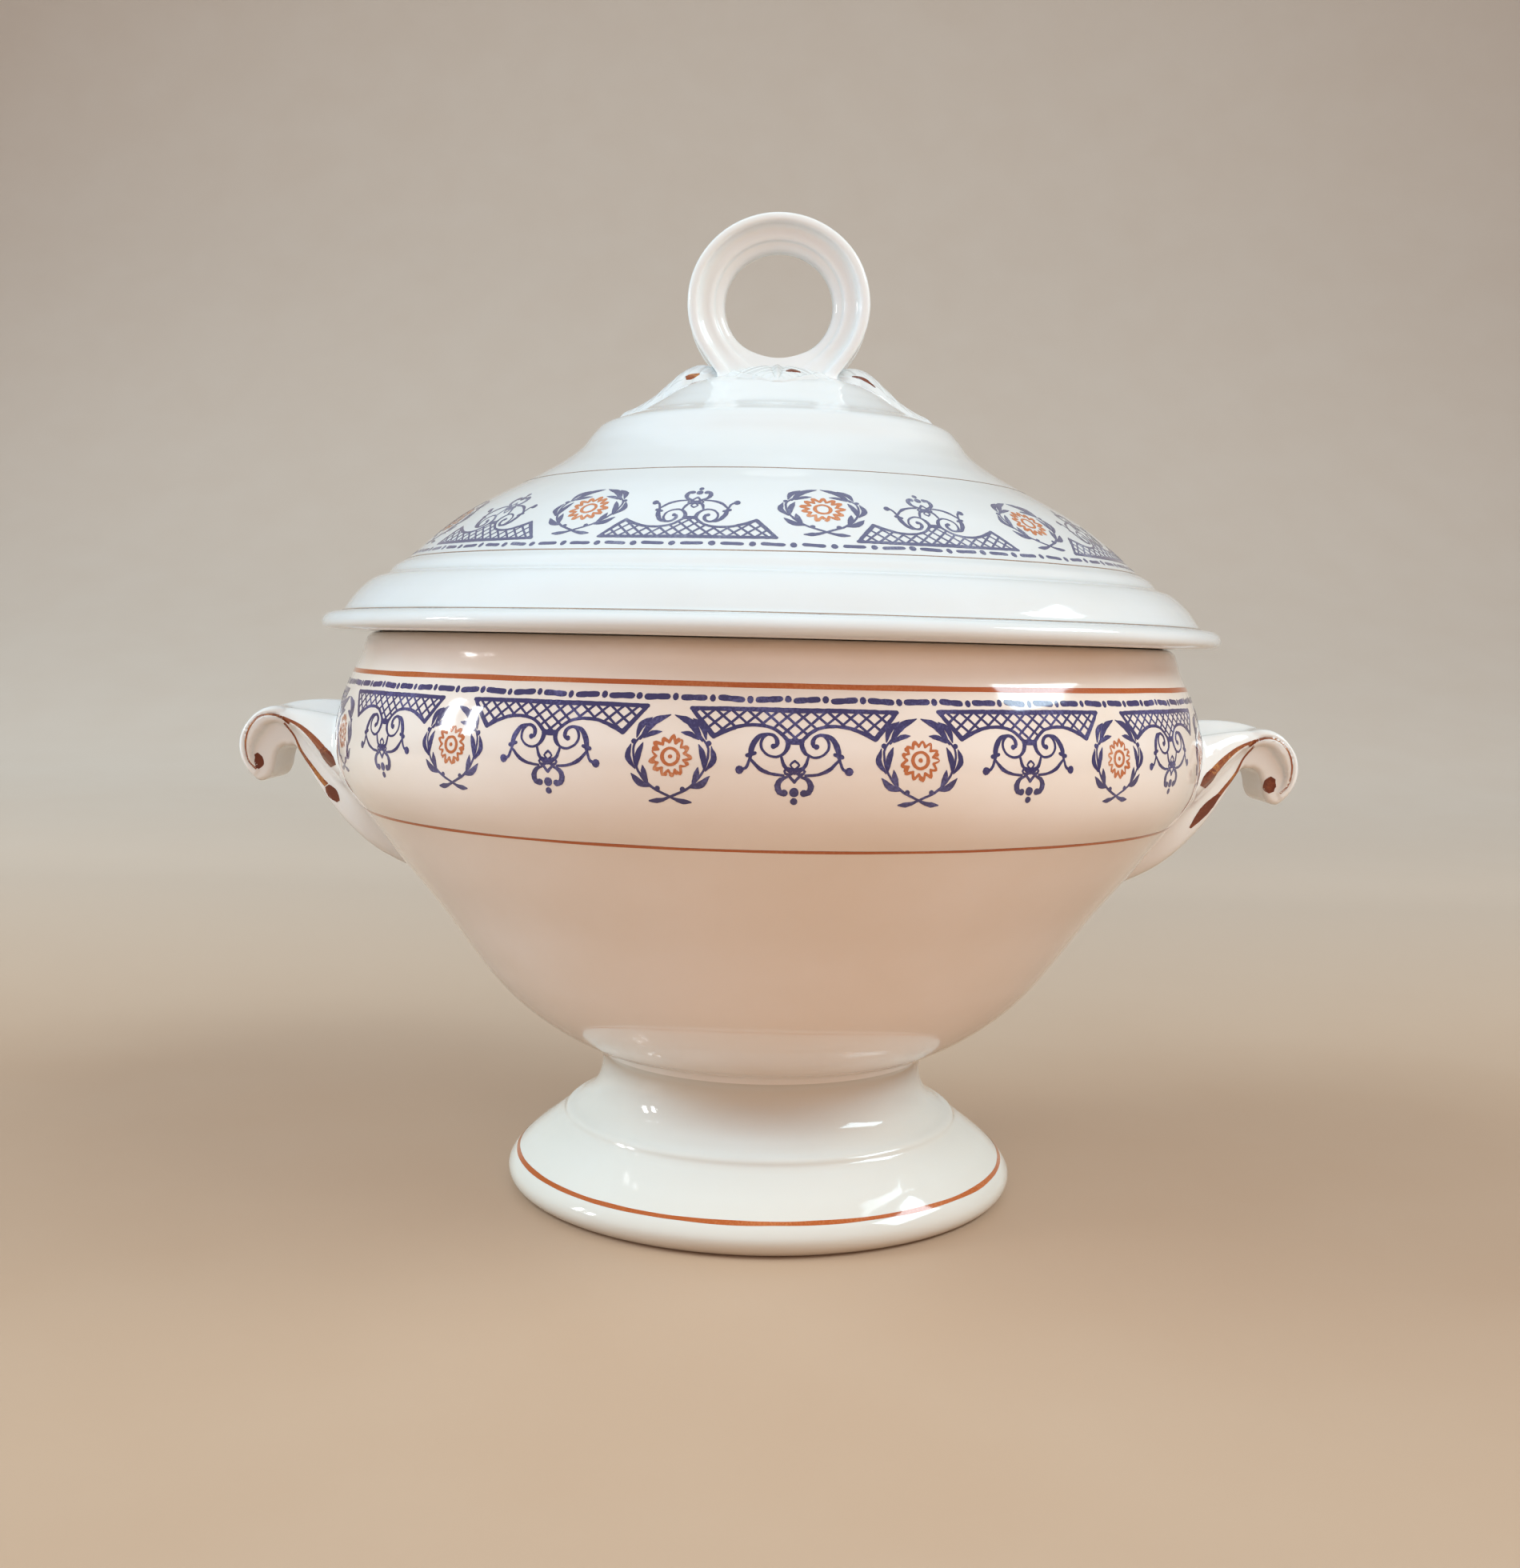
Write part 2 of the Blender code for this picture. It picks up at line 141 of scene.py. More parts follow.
class Turned:
    """Smooth surface of revolution; arc is the distance in mm down its outer outline."""

    def __init__(self, line):
        self.line = line
        self.normal = normals_2d(line)
        self.arc = distances(line)

    def arc_at(self, height):
        return float(np.interp(-height, -self.line[:, 1], self.arc))

    def radius_at(self, height):
        return np.interp(-height, -self.line[:, 1], self.line[:, 0])

    def height_at(self, radius):
        return np.interp(radius, self.line[:, 0], self.line[:, 1])

    def place(self, angle, arc, lift):
        """Points in mm and normals, lift above the surface; angle 0 is the front, + to the right."""
        r, z, nr, nz = (np.interp(arc, self.arc, column)
                        for column in (*self.line.T, *self.normal.T))
        across = np.stack([np.sin(angle), -np.cos(angle), np.zeros_like(angle)], axis=1)
        up = np.array([0.0, 0.0, 1.0])
        normal = across * nr[:, None] + up * nz[:, None]
        return across * r[:, None] + up * z[:, None] + normal * np.reshape(lift, (-1, 1)), normal


def add_mesh(name, points, faces, material, body, slot=None, normals=None, nodes=()):
    """New piece from points in mm, riding on a body and standing for the CAD nodes given."""
    mesh = bpy.data.meshes.new(name)
    mesh.from_pydata((np.asarray(points) * MM).tolist(), [], faces)
    mesh.validate()
    mesh.shade_smooth()
    if normals is None:
        mesh.set_sharp_from_angle(angle=SHARP_ANGLE)
    else:
        mesh.normals_split_custom_set_from_vertices(np.asarray(normals).tolist())
    obj = bpy.data.objects.new(name, mesh)
    bpy.context.scene.collection.objects.link(obj)
    mesh.materials.append(material)
    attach(obj, body)
    if nodes:
        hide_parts(*nodes)
    return obj


def revolve(line):
    """Points and faces of a solid turned about Z; the line is a loop, or starts and ends at r=0."""
    angles = np.arange(AROUND) * math.tau / AROUND
    points, rows = [], []
    for r, z in line:
        if r < ON_AXIS:
            rows.append([len(points)] * AROUND)
            points.append((0.0, 0.0, z))
            continue
        rows.append(list(range(len(points), len(points) + AROUND)))
        points += [(r * math.sin(a), -r * math.cos(a), z) for a in angles]
    pairs = list(zip(rows, rows[1:]))
    if line[0][0] > ON_AXIS:
        pairs.append((rows[-1], rows[0]))
    faces = []
    for upper, lower in pairs:
        for j in range(AROUND):
            k = (j + 1) % AROUND
            corners = [upper[j], lower[j], lower[k], upper[k]]
            faces.append(list(dict.fromkeys(corners)))
    return points, faces


# ---------------------------------------------------------------- materials

class Graph:
    """A material's node tree; an input given as a socket is linked, anything else is set."""

    def __init__(self, name):
        self.material = bpy.data.materials.new(name)
        self.material.use_nodes = True
        self.tree = self.material.node_tree
        self.shader = self.tree.nodes["Principled BSDF"]
        self.place = self.add("TexCoord").outputs["Object"]

    def add(self, kind, inputs=None, **settings):
        node = self.tree.nodes.new("ShaderNode" + kind)
        for key, value in settings.items():
            setattr(node, key, value)
        self.feed(node, inputs or {})
        return node

    def feed(self, node, inputs):
        for key, value in inputs.items():
            if isinstance(value, bpy.types.NodeSocket):
                self.tree.links.new(value, node.inputs[key])
            else:
                node.inputs[key].default_value = value

    def noise(self, size_mm, detail=3.0, stretch=(1.0, 1.0, 1.0)):
        """Noise with features about size_mm wide."""
        mapped = self.add("Mapping", {"Vector": self.place, "Scale": stretch}).outputs["Vector"]
        settings = {"Vector": mapped, "Scale": 1.0 / (size_mm * MM), "Detail": detail}
        return self.add("TexNoise", settings).outputs["Fac"]

    def remap(self, value, low, high, to_low=0.0, to_high=1.0):
        node = self.add("MapRange", {"Value": value, "From Min": low, "From Max": high,
                                     "To Min": to_low, "To Max": to_high})
        return node.outputs["Result"]

    def math(self, operation, a, b):
        return self.add("Math", {0: a, 1: b}, operation=operation).outputs["Value"]

    def mix(self, amount, a, b):
        node = self.add("Mix", {"Factor": amount}, data_type="RGBA")
        self.feed(node, {6: a, 7: b})
        return node.outputs[2]

    def bump(self, height, depth_mm, below=None):
        inputs = {"Height": height, "Distance": depth_mm * MM, "Strength": 1.0}
        if below is not None:
            inputs["Normal"] = below
        return self.add("Bump", inputs).outputs["Normal"]


# Clays as clean and cloudy colour. All stand for one clay, and their differences are painted light and
# shade: the bowl warmer and darker (painted warm reflection and shade), the foot lighter (painted
# light), the lid and its leaves darker than the ring and the handles (painted shade)
PAINTED_LIGHT_CLAYS = {
    "bowl_glaze": ((0.755, 0.665, 0.60, 1.0), (0.73, 0.63, 0.55, 1.0)),
    "foot_glaze": ((0.95, 0.945, 0.94, 1.0), (0.92, 0.905, 0.885, 1.0)),
    "handle_glaze": ((0.77, 0.76, 0.74, 1.0), (0.74, 0.72, 0.69, 1.0)),
    "lid_glaze": ((0.67, 0.68, 0.68, 1.0), (0.65, 0.65, 0.64, 1.0)),
    "crown_glaze": ((0.75, 0.75, 0.745, 1.0), (0.725, 0.72, 0.70, 1.0)),
}
# Inks and paints as full colour, colour where thin, and size of the patches in mm
INKS = {
    "blue": ((0.042, 0.036, 0.112, 1.0), (0.125, 0.12, 0.28, 1.0), 9.0),
    "lid_blue": ((0.115, 0.12, 0.20, 1.0), (0.26, 0.28, 0.37, 1.0), 9.0),
    "rust": ((0.45, 0.13, 0.045, 1.0), (0.62, 0.32, 0.18, 1.0), 8.0),
    "lid_rust": ((0.50, 0.18, 0.08, 1.0), (0.66, 0.34, 0.20, 1.0), 8.0),
    "ochre": ((0.40, 0.095, 0.022, 1.0), (0.50, 0.17, 0.06, 1.0), 22.0),
    "olive": ((0.30, 0.20, 0.14, 1.0), (0.44, 0.35, 0.27, 1.0), 22.0),
    "maroon": ((0.13, 0.028, 0.012, 1.0), (0.24, 0.06, 0.025, 1.0), 5.0),
    "gold": ((0.24, 0.065, 0.025, 1.0), (0.58, 0.27, 0.07, 1.0), 5.0),
}
POOLED_GLAZE = (0.60, 0.66, 0.66, 1.0)
IRON_SPECK = (0.16, 0.11, 0.09, 1.0)
BARE_CLAY = (0.52, 0.45, 0.37, 1.0)
COAT = 0.35


def glaze_surface(graph):
    """Wavy, faintly pitted skin of the glaze, over whatever colour lies under it."""
    ripples = graph.bump(graph.noise(26.0, 1.0, (1.0, 1.0, 2.6)), 0.05)
    peel = graph.bump(graph.noise(3.6, 1.5), 0.006, ripples)
    pits = graph.remap(graph.noise(0.9, 1.0), 0.66, 0.76)
    normal = graph.bump(pits, 0.004, peel)
    roughness = graph.remap(graph.noise(9.0), 0.3, 0.75, 0.05, 0.11)
    graph.feed(graph.shader, {
        "Normal": normal, "Roughness": roughness, "IOR": 1.5,
        "Coat Weight": COAT, "Coat Roughness": 0.02, "Coat Normal": peel,
    })


def glazed_clay(name, clean, cloudy, bare_foot=False):
    """White clay under a clear glaze: cloudy tint, pooled glaze in hollows and iron specks."""
    graph = Graph(name)
    tint = graph.mix(graph.remap(graph.noise(34.0, 4.0), 0.35, 0.7), clean, cloudy)
    hollow = graph.remap(graph.add("NewGeometry").outputs["Pointiness"], 0.47, 0.495, 0.35, 0.0)
    tint = graph.mix(hollow, tint, POOLED_GLAZE)
    cells = graph.add("TexVoronoi", {"Vector": graph.place, "Scale": 1.0 / (21.0 * MM)})
    spot = graph.remap(cells.outputs["Distance"], 0.008, 0.017, 1.0, 0.0)
    chosen = graph.add("SeparateColor", {"Color": cells.outputs["Color"]}).outputs["Red"]
    speck = graph.math("MULTIPLY", spot, graph.remap(chosen, 0.80, 0.86, 0.0, 0.7))
    tint = graph.mix(speck, tint, IRON_SPECK)
    glaze_surface(graph)
    graph.feed(graph.shader, {"Base Color": tint, "Subsurface Weight": 0.12,
                              "Subsurface Radius": (0.0022, 0.0018, 0.0014)})
    if bare_foot:
        height = graph.add("SeparateXYZ", {"Vector": graph.place}).outputs["Z"]
        ragged = graph.math("MULTIPLY_ADD", graph.noise(2.0), 0.25 * MM)
        bare = graph.remap(graph.math("SUBTRACT", height, ragged), 0.0, 0.15 * MM, 1.0, 0.0)
        graph.feed(graph.shader, {
            "Base Color": graph.mix(bare, tint, BARE_CLAY),
            "Coat Weight": graph.math("MULTIPLY_ADD", bare, -COAT),
        })
    return graph.material


def ink(name, deep, pale, patch_mm):
    """Printed or painted colour under the glaze, mottled where it took thinly."""
    graph = Graph(name)
    grain = graph.noise(0.55, 3.0)
    patches = graph.noise(patch_mm, 2.0)
    both = graph.math("ADD", graph.math("MULTIPLY", grain, 0.45), graph.math("MULTIPLY", patches, 0.55))
    colour = graph.mix(graph.remap(both, 0.5, 0.72), deep, pale)
    glaze_surface(graph)
    graph.feed(graph.shader, {"Base Color": colour})
    return graph.material


# ---------------------------------------------------------------- turned pieces

SEAM_TUCK = 0.06                # bowl and foot overlap at the neck by a hidden strip, this far in


def bowl_lines(fine):
    """Outer and full outlines of the bowl, cut from the fine body line at the neck."""
    outer = fine[fine[:, 1] >= NECK_Z]
    overlap = fine[fine[:, 1] < NECK_Z][:2] - (SEAM_TUCK, 0.0)
    inner = outer - normals_2d(outer) * BOWL_WALL
    inner = inner[(inner[:, 1] > NECK_Z + BOWL_FLOOR + 2.5) & (inner[:, 1] < SEAT_Z - 1.0)]
    floor = spline([(0.0, NECK_Z + BOWL_FLOOR), (22.0, NECK_Z + BOWL_FLOOR + 0.2), inner[-1]], 3.0)
    centre = np.array([(0.0, overlap[-1][1])])
    return outer, np.concatenate([floor[:-1], inner[::-1][::2], outer, overlap, centre])


def foot_lines(fine):
    """Outer and full outlines of the hollow foot, with the flat ring it rests on."""
    outer = fine[np.argmax(fine[:, 1] < NECK_Z) - 1:]
    overlap = fine[fine[:, 1] >= NECK_Z][-3:-1] - (SEAM_TUCK, 0.0)
    hollow = outer - normals_2d(outer) * FOOT_WALL
    hollow = hollow[(hollow[:, 1] > 4.0) & (hollow[:, 1] < NECK_Z - FOOT_WALL)]
    rest = np.array([(65.2, 0.0), (64.2, 0.5), (63.8, 1.4)])
    throat = np.array([(outer[0][0] - FOOT_WALL, outer[0][1])])
    return outer, np.concatenate([overlap, outer, rest, hollow[::-1][::2], throat])


def lid_lines(outer):
    """Full outline of the lid: outside, flange and inside."""
    inner_radius = FLANGE_RADIUS - FLANGE_WIDTH
    inside = outer - normals_2d(outer) * LID_WALL
    inside = inside[(inside[:, 1] > SEAT_Z + 8.0) & (inside[:, 0] < inner_radius - 1.0)][::2]
    inside[0][0] = 0.0
    flange = spline([
        (FLANGE_RADIUS + 3.0, SEAT_Z + 0.3), (FLANGE_RADIUS + 1.0, SEAT_Z - 0.3),
        (FLANGE_RADIUS, SEAT_Z - 1.6), (FLANGE_RADIUS - 0.3, FLANGE_Z + 1.2),
        (FLANGE_RADIUS - 1.4, FLANGE_Z), (inner_radius + 1.0, FLANGE_Z),
        (inner_radius, FLANGE_Z + 1.0), (inner_radius - 0.6, SEAT_Z),
    ], 0.6)
    return np.concatenate([outer, flange, inside[::-1]])


# ---------------------------------------------------------------- moulded pieces

RING_HOLE = 15.1
RING_SQUASH = 0.97              # the ring is a little wider than it is tall
RING_FACETS = 200
# Half of the ring's cross-section as (radius, half width), from its rim in to its hole
RING_SECTION = [
    (RING_RADIUS, 0), (RING_RADIUS - 0.1, 4.4), (25.5, 6.8), (24.9, 7.8), (24, RING_HALF_WIDTH),
    (23.2, 7.9), (22.7, 7.3), (22.4, 6.4), (21.7, 5.6), (20.6, 5.2), (18.9, 5), (18.3, 4.6), (18, 4),
    (17, 3.5), (15.7, 2.4), (RING_HOLE, 0),
]
# The foot of the ring spreads onto the crown within these angles from its lowest point
RING_LEAN_FROM = math.radians(55.0)
RING_LEAN_MOST = math.radians(36.0)
RING_FLARE_FROM = math.radians(56.0)
RING_FLARE_TO = math.radians(12.0)
ROOT_DEPTH = 1.5                # how far a luted piece reaches into the clay it is fixed to
SLIP_REACH = 1.6                # height of the little fillet of slip round a luted piece

# Leaves as (radius, half width, height above the lid)
LONG_LEAF = [
    (16.5, 6.2, 2), (18.5, 7.4, 3.7), (21, 8.6, 4.8), (25, 9.8, 5.1), (30, 9.2, 3.8), (35.5, 7.6, 2.7),
    (40, 5.6, 2.6), (43.4, 3.6, 2.5), (45.2, 1.6, 1.3),
]
SHORT_LEAF = [
    (9.5, 9, 0.9), (13.5, 13, 1.6), (18, 14, 1.8), (23, 11, 1.5), (27.5, 6.5, 1.1), (30.5, 1.5, 0.5),
]
LEAF_LOBES = 4.0
LEAF_ROOT = 0.7                 # how far a leaf reaches into the lid

# Ridges and hollows of the handle's hood as (x, y, z), from the neck of the volute into the bowl;
# those on its front half, which the rear half mirrors
CREST = [
    (141, 0, 134.2), (136.5, 0, 135.4), (131, 0, 136.1), (125, 0, 136.2), (119, 0, 135.8),
    (112, 0, 135),
]
VALLEY = [
    (140.5, 5.5, 133.6), (136, 5.8, 133.2), (130.5, 6.5, 132.4), (124.5, 7.5, 131.6),
    (118.5, 8.5, 130.6), (111, 9, 129.8),
]
LOBE = [
    (139.8, 9.5, 133.3), (135, 10.5, 133.5), (129.5, 12.5, 133.2), (123.5, 14.5, 132.4),
    (117, 16.5, 131.4), (108, 17, 130.4),
]
UPPER_RIB = [
    (138.8, 11, 132), (134, 13, 129.6), (129, 16, 126.3), (124, 19.5, 122.6), (117.5, 23.5, 118.6),
    (107, 24, 114),
]
FLUTE = [
    (138, 10.6, 130.2), (133.4, 10.8, 126.5), (128.6, 12.5, 121.5), (123.4, 14.5, 116),
    (115.5, 17, 109), (100, 15, 101),
]
LOWER_RIB = [
    (137, 11, 127.5), (133.2, 11, 122.8), (128.8, 12, 115.5), (123.6, 13, 108.2), (113.5, 13, 97.5),
    (92, 10, 86),
]
KEEL = [
    (136.6, 0, 124), (132.3, 0, 119.2), (127.7, 0, 112.2), (122.4, 0, 104.7), (112, 0, 94.6),
    (91, 0, 83.5),
]
# Side view of the volute as (x, z), clockwise from the neck, and the inner edge of its rolled rim
VOLUTE_OUTLINE = [
    (136.2, 133.4), (139.5, 134.2), (142.4, 133.8), (145.2, 132.4), (147.6, 130), (149.5, 127),
    (150.3, 123.6), (150, 120.2), (148.8, 117.2), (146.8, 114.6), (144.2, 112.8), (141.9, 113.6),
    (140.4, 116.2), (139.8, 119.4), (138.6, 122.2), (136.9, 123.1), (135.2, 122.9), (134.2, 128),
]
VOLUTE_RIM = [
    (135, 128.5), (137.5, 130.9), (141, 131.9), (144.3, 131), (146.8, 128.5), (148.1, 124.5),
    (147.9, 121), (146.9, 118), (145, 116),
]
# Rounding of the volute's two ends as (distance from the middle, inset of the outline)
VOLUTE_ROUNDING = [(11.0, 1.5), (10.9, 0.95), (10.6, 0.5), (10.1, 0.15), (9.5, 0.0)]
VOLUTE_FACE = 8.5               # the carved hollow lies further from the middle than this,
VOLUTE_START_X = 133.0          # and further out than this
HOOD_RINGS = 60
HOOD_SIDES = 96
REMESH_SIZE = 0.45


def grid_faces(rows, columns, wrap_rows=False, wrap_columns=False):
    """Quads over a grid of points stored row by row."""
    faces = []
    for i in range(rows if wrap_rows else rows - 1):
        k = (i + 1) % rows
        for j in range(columns if wrap_columns else columns - 1):
            m = (j + 1) % columns
            faces.append((i * columns + j, i * columns + m, k * columns + m, k * columns + j))
    return faces


def smooth_step(value, low, high):
    share = np.clip((value - low) / (high - low), 0.0, 1.0)
    return share * share * (3.0 - 2.0 * share)


def vertex_normals(points, faces):
    """Normals at the points of a closed skin."""
    mesh = bpy.data.meshes.new("measure")
    mesh.from_pydata(np.asarray(points).tolist(), [], faces)
    normals = np.array([tuple(vertex.normal) for vertex in mesh.vertices])
    bpy.data.meshes.remove(mesh)
    return normals


def settle(points, faces, clearance, sink):
    """Fillet of slip at the root of a luted piece; clearance is each point's height above the clay.

    Points deeper than the root are moved back along sink, so nothing shows on the far side.
    """
    normals = vertex_normals(points, faces)
    near = np.clip(1.0 - np.maximum(clearance, 0.0) / SLIP_REACH, 0.0, 1.0) ** 2
    deep = np.minimum(clearance + ROOT_DEPTH, 0.0)
    return points + normals * (0.75 * near * (clearance > -0.6))[:, None] - sink * deep[:, None]


def make_ring(lid_surface, material):
    """Upright ring with rolled edges and coved faces, its foot spread onto the crown."""
    half = spline(RING_SECTION, 0.55)
    section = np.concatenate([half, (half[1:-1] * (1.0, -1.0))[::-1]])
    points = []
    for angle in np.arange(RING_FACETS) * math.tau / RING_FACETS:
        swing = abs(angle - math.pi)            # from the bottom of the ring
        lean = min(max(RING_LEAN_FROM - swing, 0.0), RING_LEAN_MOST)
        outward = (section[:, 0] - RING_HOLE) / (RING_RADIUS - RING_HOLE)
        radius = section[:, 0] + RING_RADIUS * (1.0 / math.cos(lean) - 1.0) * outward
        flare = float(smooth_step(-swing, -RING_FLARE_FROM, -RING_FLARE_TO))
        # at the foot the section fills out to a wedge, widest at the rim
        fill = np.sign(section[:, 1]) * (RING_HALF_WIDTH * (0.55 + 0.60 * outward))
        width = section[:, 1] + flare * (fill - section[:, 1]) * (np.abs(section[:, 1]) > 0.01)
        wobble = 0.12 * noise.noise(Vector((math.cos(angle), math.sin(angle), 4.0)) * 2.0)
        radius = radius + wobble * outward
        height = RING_Z + RING_SQUASH * radius * math.cos(angle)
        points += list(zip(radius * math.sin(angle), -width, height))
    points = np.array(points)
    faces = grid_faces(RING_FACETS, len(section), True, True)
    ground = lid_surface.height_at(np.hypot(points[:, 0], points[:, 1]))
    sink = np.tile((0.0, 0.0, 1.0), (len(points), 1))
    points = settle(points, faces, points[:, 2] - ground, sink)
    add_mesh("ring_grip", points, faces, material, "lid", "ring_glaze", nodes=("ring_knob",))


def make_leaf(name, stations, degrees, lid_surface, material, seed):
    """Moulded leaf lying on the crown: lobed edge, midrib and herringbone veins."""
    along, across = 120, 81
    line = spline(stations, 0.25)
    pick = np.linspace(0, len(line) - 1, along)
    radius, half, height = (np.interp(pick, np.arange(len(line)), line[:, k]) for k in range(3))
    t, u = np.linspace(0.0, 1.0, along)[:, None], np.linspace(-1.0, 1.0, across)[None, :]
    side = np.abs(u)
    lobe = np.abs(np.sin(math.pi * (LEAF_LOBES * t - 0.22 * side + 0.25)))
    fade = smooth_step(t, 0.0, 0.15) * smooth_step(-t, -1.0, -0.8)
    half = half[:, None] * (1.0 + 0.13 * (lobe - 0.75) * fade * side ** 2)
    reach = radius[:, None] + 1.1 * side ** 2 * np.sin(math.pi * t)
    vein = np.abs((LEAF_LOBES * 2.0 * t - 1.5 * side) % 1.0 - 0.5) * 2.0
    relief = -0.34 * smooth_step(-vein, -0.34, 0.0) * smooth_step(side, 0.05, 0.2)
    relief = relief * smooth_step(-side, -0.9, -0.7) + 0.3 * np.exp(-(side / 0.05) ** 2)
    relief = relief - 0.3 * np.exp(-((side - 0.12) / 0.05) ** 2)
    curl = 0.5 * np.exp(-((side - 0.86) / 0.07) ** 2) * (0.4 + 0.6 * lobe)
    dome = 1.0 - side ** 2.2
    rise = height[:, None] * dome + (relief + curl) * fade
    rise = np.maximum(rise, 0.02 * dome)
    bearing = math.radians(degrees)
    x = reach * math.cos(bearing) - half * u * math.sin(bearing)
    y = reach * math.sin(bearing) + half * u * math.cos(bearing)
    flat = np.hypot(reach, half * u)
    ground = lid_surface.height_at(flat.ravel()).reshape(flat.shape)
    top = np.stack([x, y, ground + rise], axis=-1)
    root = np.stack([x, y, ground - LEAF_ROOT], axis=-1)
    for point in top.reshape(-1, 3):
        point[2] += 0.10 * noise.noise(Vector(point) * 0.3 + Vector((seed, 0.0, 0.0)))
    loop = np.concatenate([top, root[:, ::-1]], axis=1)
    rows, columns = along, 2 * across
    faces = grid_faces(rows, columns, False, True)
    faces += [tuple(range(columns - 1, -1, -1)), tuple((rows - 1) * columns + j for j in range(columns))]
    faces = [tuple(reversed(face)) for face in faces]
    points = loop.reshape(-1, 3)
    add_mesh(name + "_relief", points, faces, material, "lid", "leaf_glaze", nodes=(name,))
    return points, faces


LEFT_DAB = [(-25.6, -7, 228.6), (-24.2, -7, 229), (-22.8, -7, 229.5), (-21.7, -7, 229.9)]
RIGHT_DAB = [(21, -7, 230.1), (23.2, -7, 229.8), (25.4, -7, 228.8), (27.6, -7, 227.2)]
FRONT_DAB = [(2.4, -17, 229.6), (4.2, -17, 229.7), (6.4, -17, 229.3)]


def make_leaves(lid_surface, material, inks):
    """Two long and two short leaves, each with a small painted dab."""
    skins = {}
    for i, name in enumerate(("right_leaf", "rear_leaf", "left_leaf", "front_leaf")):
        stations = SHORT_LEAF if i % 2 else LONG_LEAF
        skins[name] = make_leaf(name, stations, i * 90.0, lid_surface, material, i * 13.0)
    gold = gather([brush(*skins["left_leaf"], LEFT_DAB, [0.9, 1.4, 1.3, 0.8, 0.3])])
    dark = gather([brush(*skins["right_leaf"], RIGHT_DAB, [0.3, 0.6, 0.8, 0.5, 0.15]),
                   brush(*skins["front_leaf"], FRONT_DAB, [0.3, 0.7, 0.6, 0.2])])
    add_mesh("leaf_gold_paint", *gold, inks["gold"], "lid", "leaf_glaze")
    add_mesh("leaf_dark_paint", *dark, inks["maroon"], "lid", "leaf_glaze")


def closed_curve(corners, step):
    """Points round a smooth closed curve through the corners, the first one repeated at the end."""
    looped = spline(np.concatenate([corners[-1:], corners, corners[:2]]), step)
    away = np.linalg.norm(looped - corners[0], axis=1)
    middle = len(looped) // 2
    first = int(np.argmin(away[:middle]))
    last = middle + int(np.argmin(away[middle:]))
    return looped[first:last + 1]


def hood_points():
    """Closed rings of points along the handle's hood, dense both ways."""
    front = [VALLEY, LOBE, UPPER_RIB, FLUTE, LOWER_RIB]
    lines = [[(x, -y, z) for x, y, z in line] for line in [CREST] + front + [KEEL]]
    lines += front[::-1]
    dense = []
    for line in lines:
        curve = spline(line, 0.5)
        pick = np.linspace(0, len(curve) - 1, HOOD_RINGS)
        dense.append([np.interp(pick, np.arange(len(curve)), column) for column in curve.T])
    rings = []
    for ring in np.array(dense).transpose(2, 0, 1):
        curve = closed_curve(ring, 0.1)
        along = distances(curve)
        even = np.arange(HOOD_SIDES) / HOOD_SIDES * along[-1]
        rings.append(np.stack([np.interp(even, along, column) for column in curve.T], axis=1))
    return rings


def volute_points():
    """Closed rings of the volute, from its front end to its rear end."""
    outline = closed_curve(np.array(VOLUTE_OUTLINE), 0.5)[:-1]
    run = np.roll(outline, -1, axis=0) - np.roll(outline, 1, axis=0)
    inward = np.stack([run[:, 1], -run[:, 0]], axis=1) / np.linalg.norm(run, axis=1)[:, None]
    rings = []
    for y, inset in VOLUTE_ROUNDING + [(-y, inset) for y, inset in reversed(VOLUTE_ROUNDING)]:
        moved = outline + inward * inset
        rings.append(np.stack([moved[:, 0], np.full(len(moved), -y), moved[:, 1]], axis=1))
    return rings


def lofted(rings):
    """Closed solid through rings of equally many points."""
    count = len(rings[0])
    faces = grid_faces(len(rings), count, False, True)
    last = (len(rings) - 1) * count
    return np.concatenate(rings), faces + [tuple(range(count))[::-1], tuple(range(last, last + count))]


def welded(parts):
    """One smooth skin round several overlapping closed solids."""
    points, faces = [], []
    for part_points, part_faces in parts:
        base = len(points)
        points += part_points.tolist()
        faces += [tuple(base + i for i in face) for face in part_faces]
    mesh = bpy.data.meshes.new("welded")
    mesh.from_pydata(points, [], faces)
    bm = bmesh.new()
    bm.from_mesh(mesh)
    bmesh.ops.triangulate(bm, faces=[face for face in bm.faces if len(face.verts) > 4])
    bmesh.ops.recalc_face_normals(bm, faces=bm.faces)
    bm.to_mesh(mesh)
    bm.free()
    source = bpy.data.objects.new("welded", mesh)
    bpy.context.scene.collection.objects.link(source)
    remesh = source.modifiers.new("Weld", "REMESH")
    remesh.mode = "VOXEL"
    remesh.voxel_size = REMESH_SIZE
    smooth = source.modifiers.new("Ease", "SMOOTH")
    smooth.factor = 0.5
    smooth.iterations = 4
    bpy.context.view_layer.update()
    skin = source.evaluated_get(bpy.context.evaluated_depsgraph_get()).to_mesh()
    points = np.array([tuple(vertex.co) for vertex in skin.vertices])
    faces = [tuple(polygon.vertices) for polygon in skin.polygons]
    bpy.data.objects.remove(source, do_unlink=True)
    return points, faces


